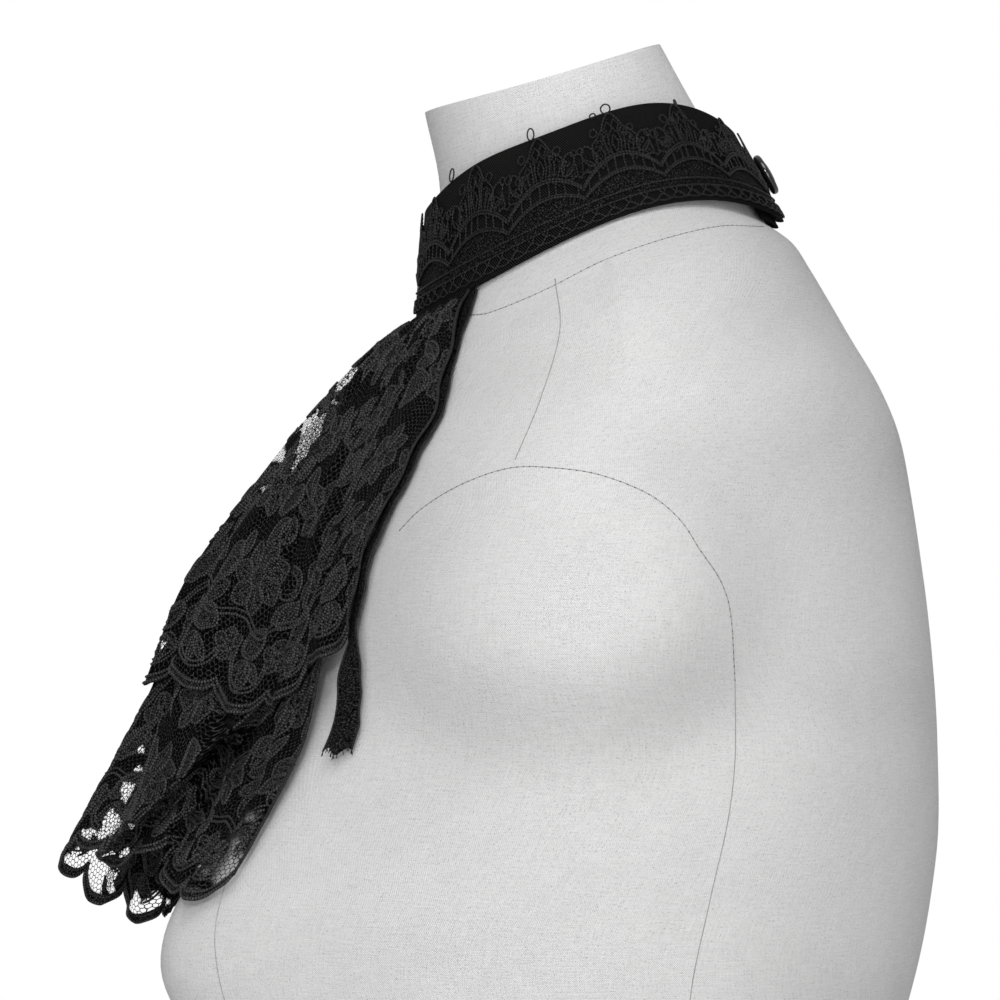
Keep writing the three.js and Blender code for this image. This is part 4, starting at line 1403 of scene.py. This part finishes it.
# Seams of the form as (y, z) where they show against the middle plane from the left
formSeams = {
    "neck": [
        (-32, 546.5), (-24.8, 547.2), (-5.2, 555.2), (13.8, 564.8),
        (34.5, 572.4), (55.2, 577.2), (70, 577),
    ],
    "shoulder": [(-1.7, 559), (0, 541.4), (-6.9, 517.2), (-15.5, 496.6)],
    "armhole": [
        (-55.2, 472.4), (-48.3, 479.3), (-34.5, 487.9), (-17.2, 493.8), (-1.7, 493.8), (13.8, 491.4),
        (31, 484.5), (41.4, 475.9), (48.3, 465.5), (55.2, 455.2), (58.6, 444.8), (60.3, 420.7),
    ],
    "side": [
        (60.3, 420.7), (60.3, 393.1), (57.9, 372.4), (51.7, 344.8),
        (44.8, 310.3), (40, 240), (38, 160), (44, 20),
    ],
    "front": [
        (-77.6, 434.5), (-89.7, 406.9), (-101.7, 379.3), (-114, 354), (-119, 330), (-112, 300),
        (-86, 250), (-68, 200), (-64, 150), (-73, 100), (-93, 20),
    ],
}


# A seam on the left of the form, found by rays from the camera
def seamLine(stops):
    stops = np.array(stops, float)
    run = runOf(stops)
    at = np.linspace(0, run[-1], max(8, int(run[-1] / seamLook["step"])))
    y, z = through(run, stops.T.copy(), at)
    eye = np.array([view["distance"], view["centreY"], view["centreZ"]]) / mm
    line = []
    for a, b in zip(y, z):
        towards = unit(np.array([0.0, a, b]) - eye)
        hit, normal, _, _ = formTree.ray_cast(tuple(eye), tuple(towards))
        if hit is not None:
            out = np.array(normal)
            out = out if out @ towards < 0 else -out
            line.append(np.array(hit) + out * seamLook["lift"])
    return np.array(line)


def makeSeams():
    look = seamLook
    left = {name: seamLine(stops) for name, stops in formSeams.items()}
    lines = list(left.values()) + [line * (-1, 1, 1) for line in left.values()]
    lines.append(backLine[(backLine[:, 2] > look["backFrom"]) & (backLine[:, 2] < look["backTo"])])
    paths = []
    for line in lines:
        along = np.gradient(line, axis=0)
        outward = unit(np.cross(along, np.cross(line - (0, 0, look["middleZ"]), along)))
        paths.append((line, outward, look["crease"]))
    # A thin dark line along each seam: painted shade in the seam's groove
    shadeLines = cordObject("seamShadeLines", paths, creaseShade)
    # Dark beads at the stitches of some seams: painted shade of the stitch holes
    sewn = [left[name] for name in look["stitched"]]
    sewn += [line * (-1, 1, 1) for line in sewn]
    return shadeLines, stitchObject("stitchShadeBeads", sewn, stitchPitShade)


seamShadeLines, stitchShadeBeads = makeSeams()
print("seams made")

# What each piece stands for, and what it rides on
pieces = {
    "linen": [form, seamShadeLines, stitchShadeBeads],
    "twill": [band],
    "guipure": [guipureCords, *guipureGrounds],
    "button": [button],
    "tier_lace": [upper["cloth"], *upper["extras"], lower["cloth"], *lower["extras"]],
    "facing": [
        leftFacing["cloth"], *leftFacing["extras"], rightFacing["cloth"], *rightFacing["extras"],
    ],
}
for slot, things in pieces.items():
    for thing in things:
        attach(thing, body)
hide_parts("dress_form")
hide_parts("neckband")
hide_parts("collar_lace")
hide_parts("back_button")
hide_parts("upper_tier")
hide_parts("lower_tier")
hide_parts("left_facing")
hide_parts("right_facing")
for tier, under in ((upper, lower["cloth"]), (lower, form)):
    length, height = tier["size"]
    area = min(0.98 * length * height, tier["area"] * 1.1)
    length * mm
    height * mm
    area * mm * mm
    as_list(tier["extras"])
for facing in (leftFacing, rightFacing):
    width, height = facing["size"]
    max(width * mm, 0.0101)
    height * mm
    width * height * mm * mm
    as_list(facing["extras"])

# Floor, world and lights
floorLook = {"half": 1500, "low": -0.2, "grey": 0.85}
floorFinish = Finish("floor", Roughness=0.8, Base_Color=(*[floorLook["grey"]] * 3, 1))
corners = [(x * floorLook["half"], y * floorLook["half"], floorLook["low"]) for x, y in (
    (-1, -1), (1, -1), (1, 1), (-1, 1),
)]
floor = makeObject("floor", corners, [(0, 1, 2, 3)], floorFinish.material)

world = bpy.data.worlds.new("world")
scene.world = world
world.use_nodes = True
worldTree = world.node_tree
sky = worldTree.nodes["Background"]
sky.inputs[0].default_value = (1, 1, 1, 1)
shown = worldTree.nodes.new("ShaderNodeBackground")
shown.inputs[0].default_value = (1, 1, 1, 1)
shown.inputs[1].default_value = 1.0
lightPath = worldTree.nodes.new("ShaderNodeLightPath")
either = worldTree.nodes.new("ShaderNodeMixShader")
worldTree.links.new(lightPath.outputs["Is Camera Ray"], either.inputs[0])
worldTree.links.new(sky.outputs[0], either.inputs[1])
worldTree.links.new(shown.outputs[0], either.inputs[2])
worldTree.links.new(either.outputs[0], worldTree.nodes["World Output"].inputs[0])
worldStrength = 0.38
sky.inputs[1].default_value = worldStrength

# The lamps' places, aims, sizes and powers
lightLook = {
    "key": ((2.0, -0.35, 1.2), (0, 0, 0.45), 0.38, 12.5),
    "fill": ((1.95, 0.35, 0.5), (0, 0, 0.45), 1.0, 10),
    "top": ((0.95, 0.0, 1.9), (0, 0, 0.5), 1.0, 12.5),
}


def addLight(name, place, towards, size, power):
    lamp = bpy.data.lights.new(name, "AREA")
    lamp.size = size
    lamp.energy = power
    thing = bpy.data.objects.new(name, lamp)
    thing.location = place
    direction = np.array(towards) - np.array(place)
    flat = math.hypot(direction[0], direction[1])
    heading = math.atan2(direction[1], direction[0]) - math.pi / 2
    thing.rotation_euler = (math.atan2(flat, -direction[2]), 0, heading)
    scene.collection.objects.link(thing)


for name, values in lightLook.items():
    addLight(name, *values)
print("stage set")
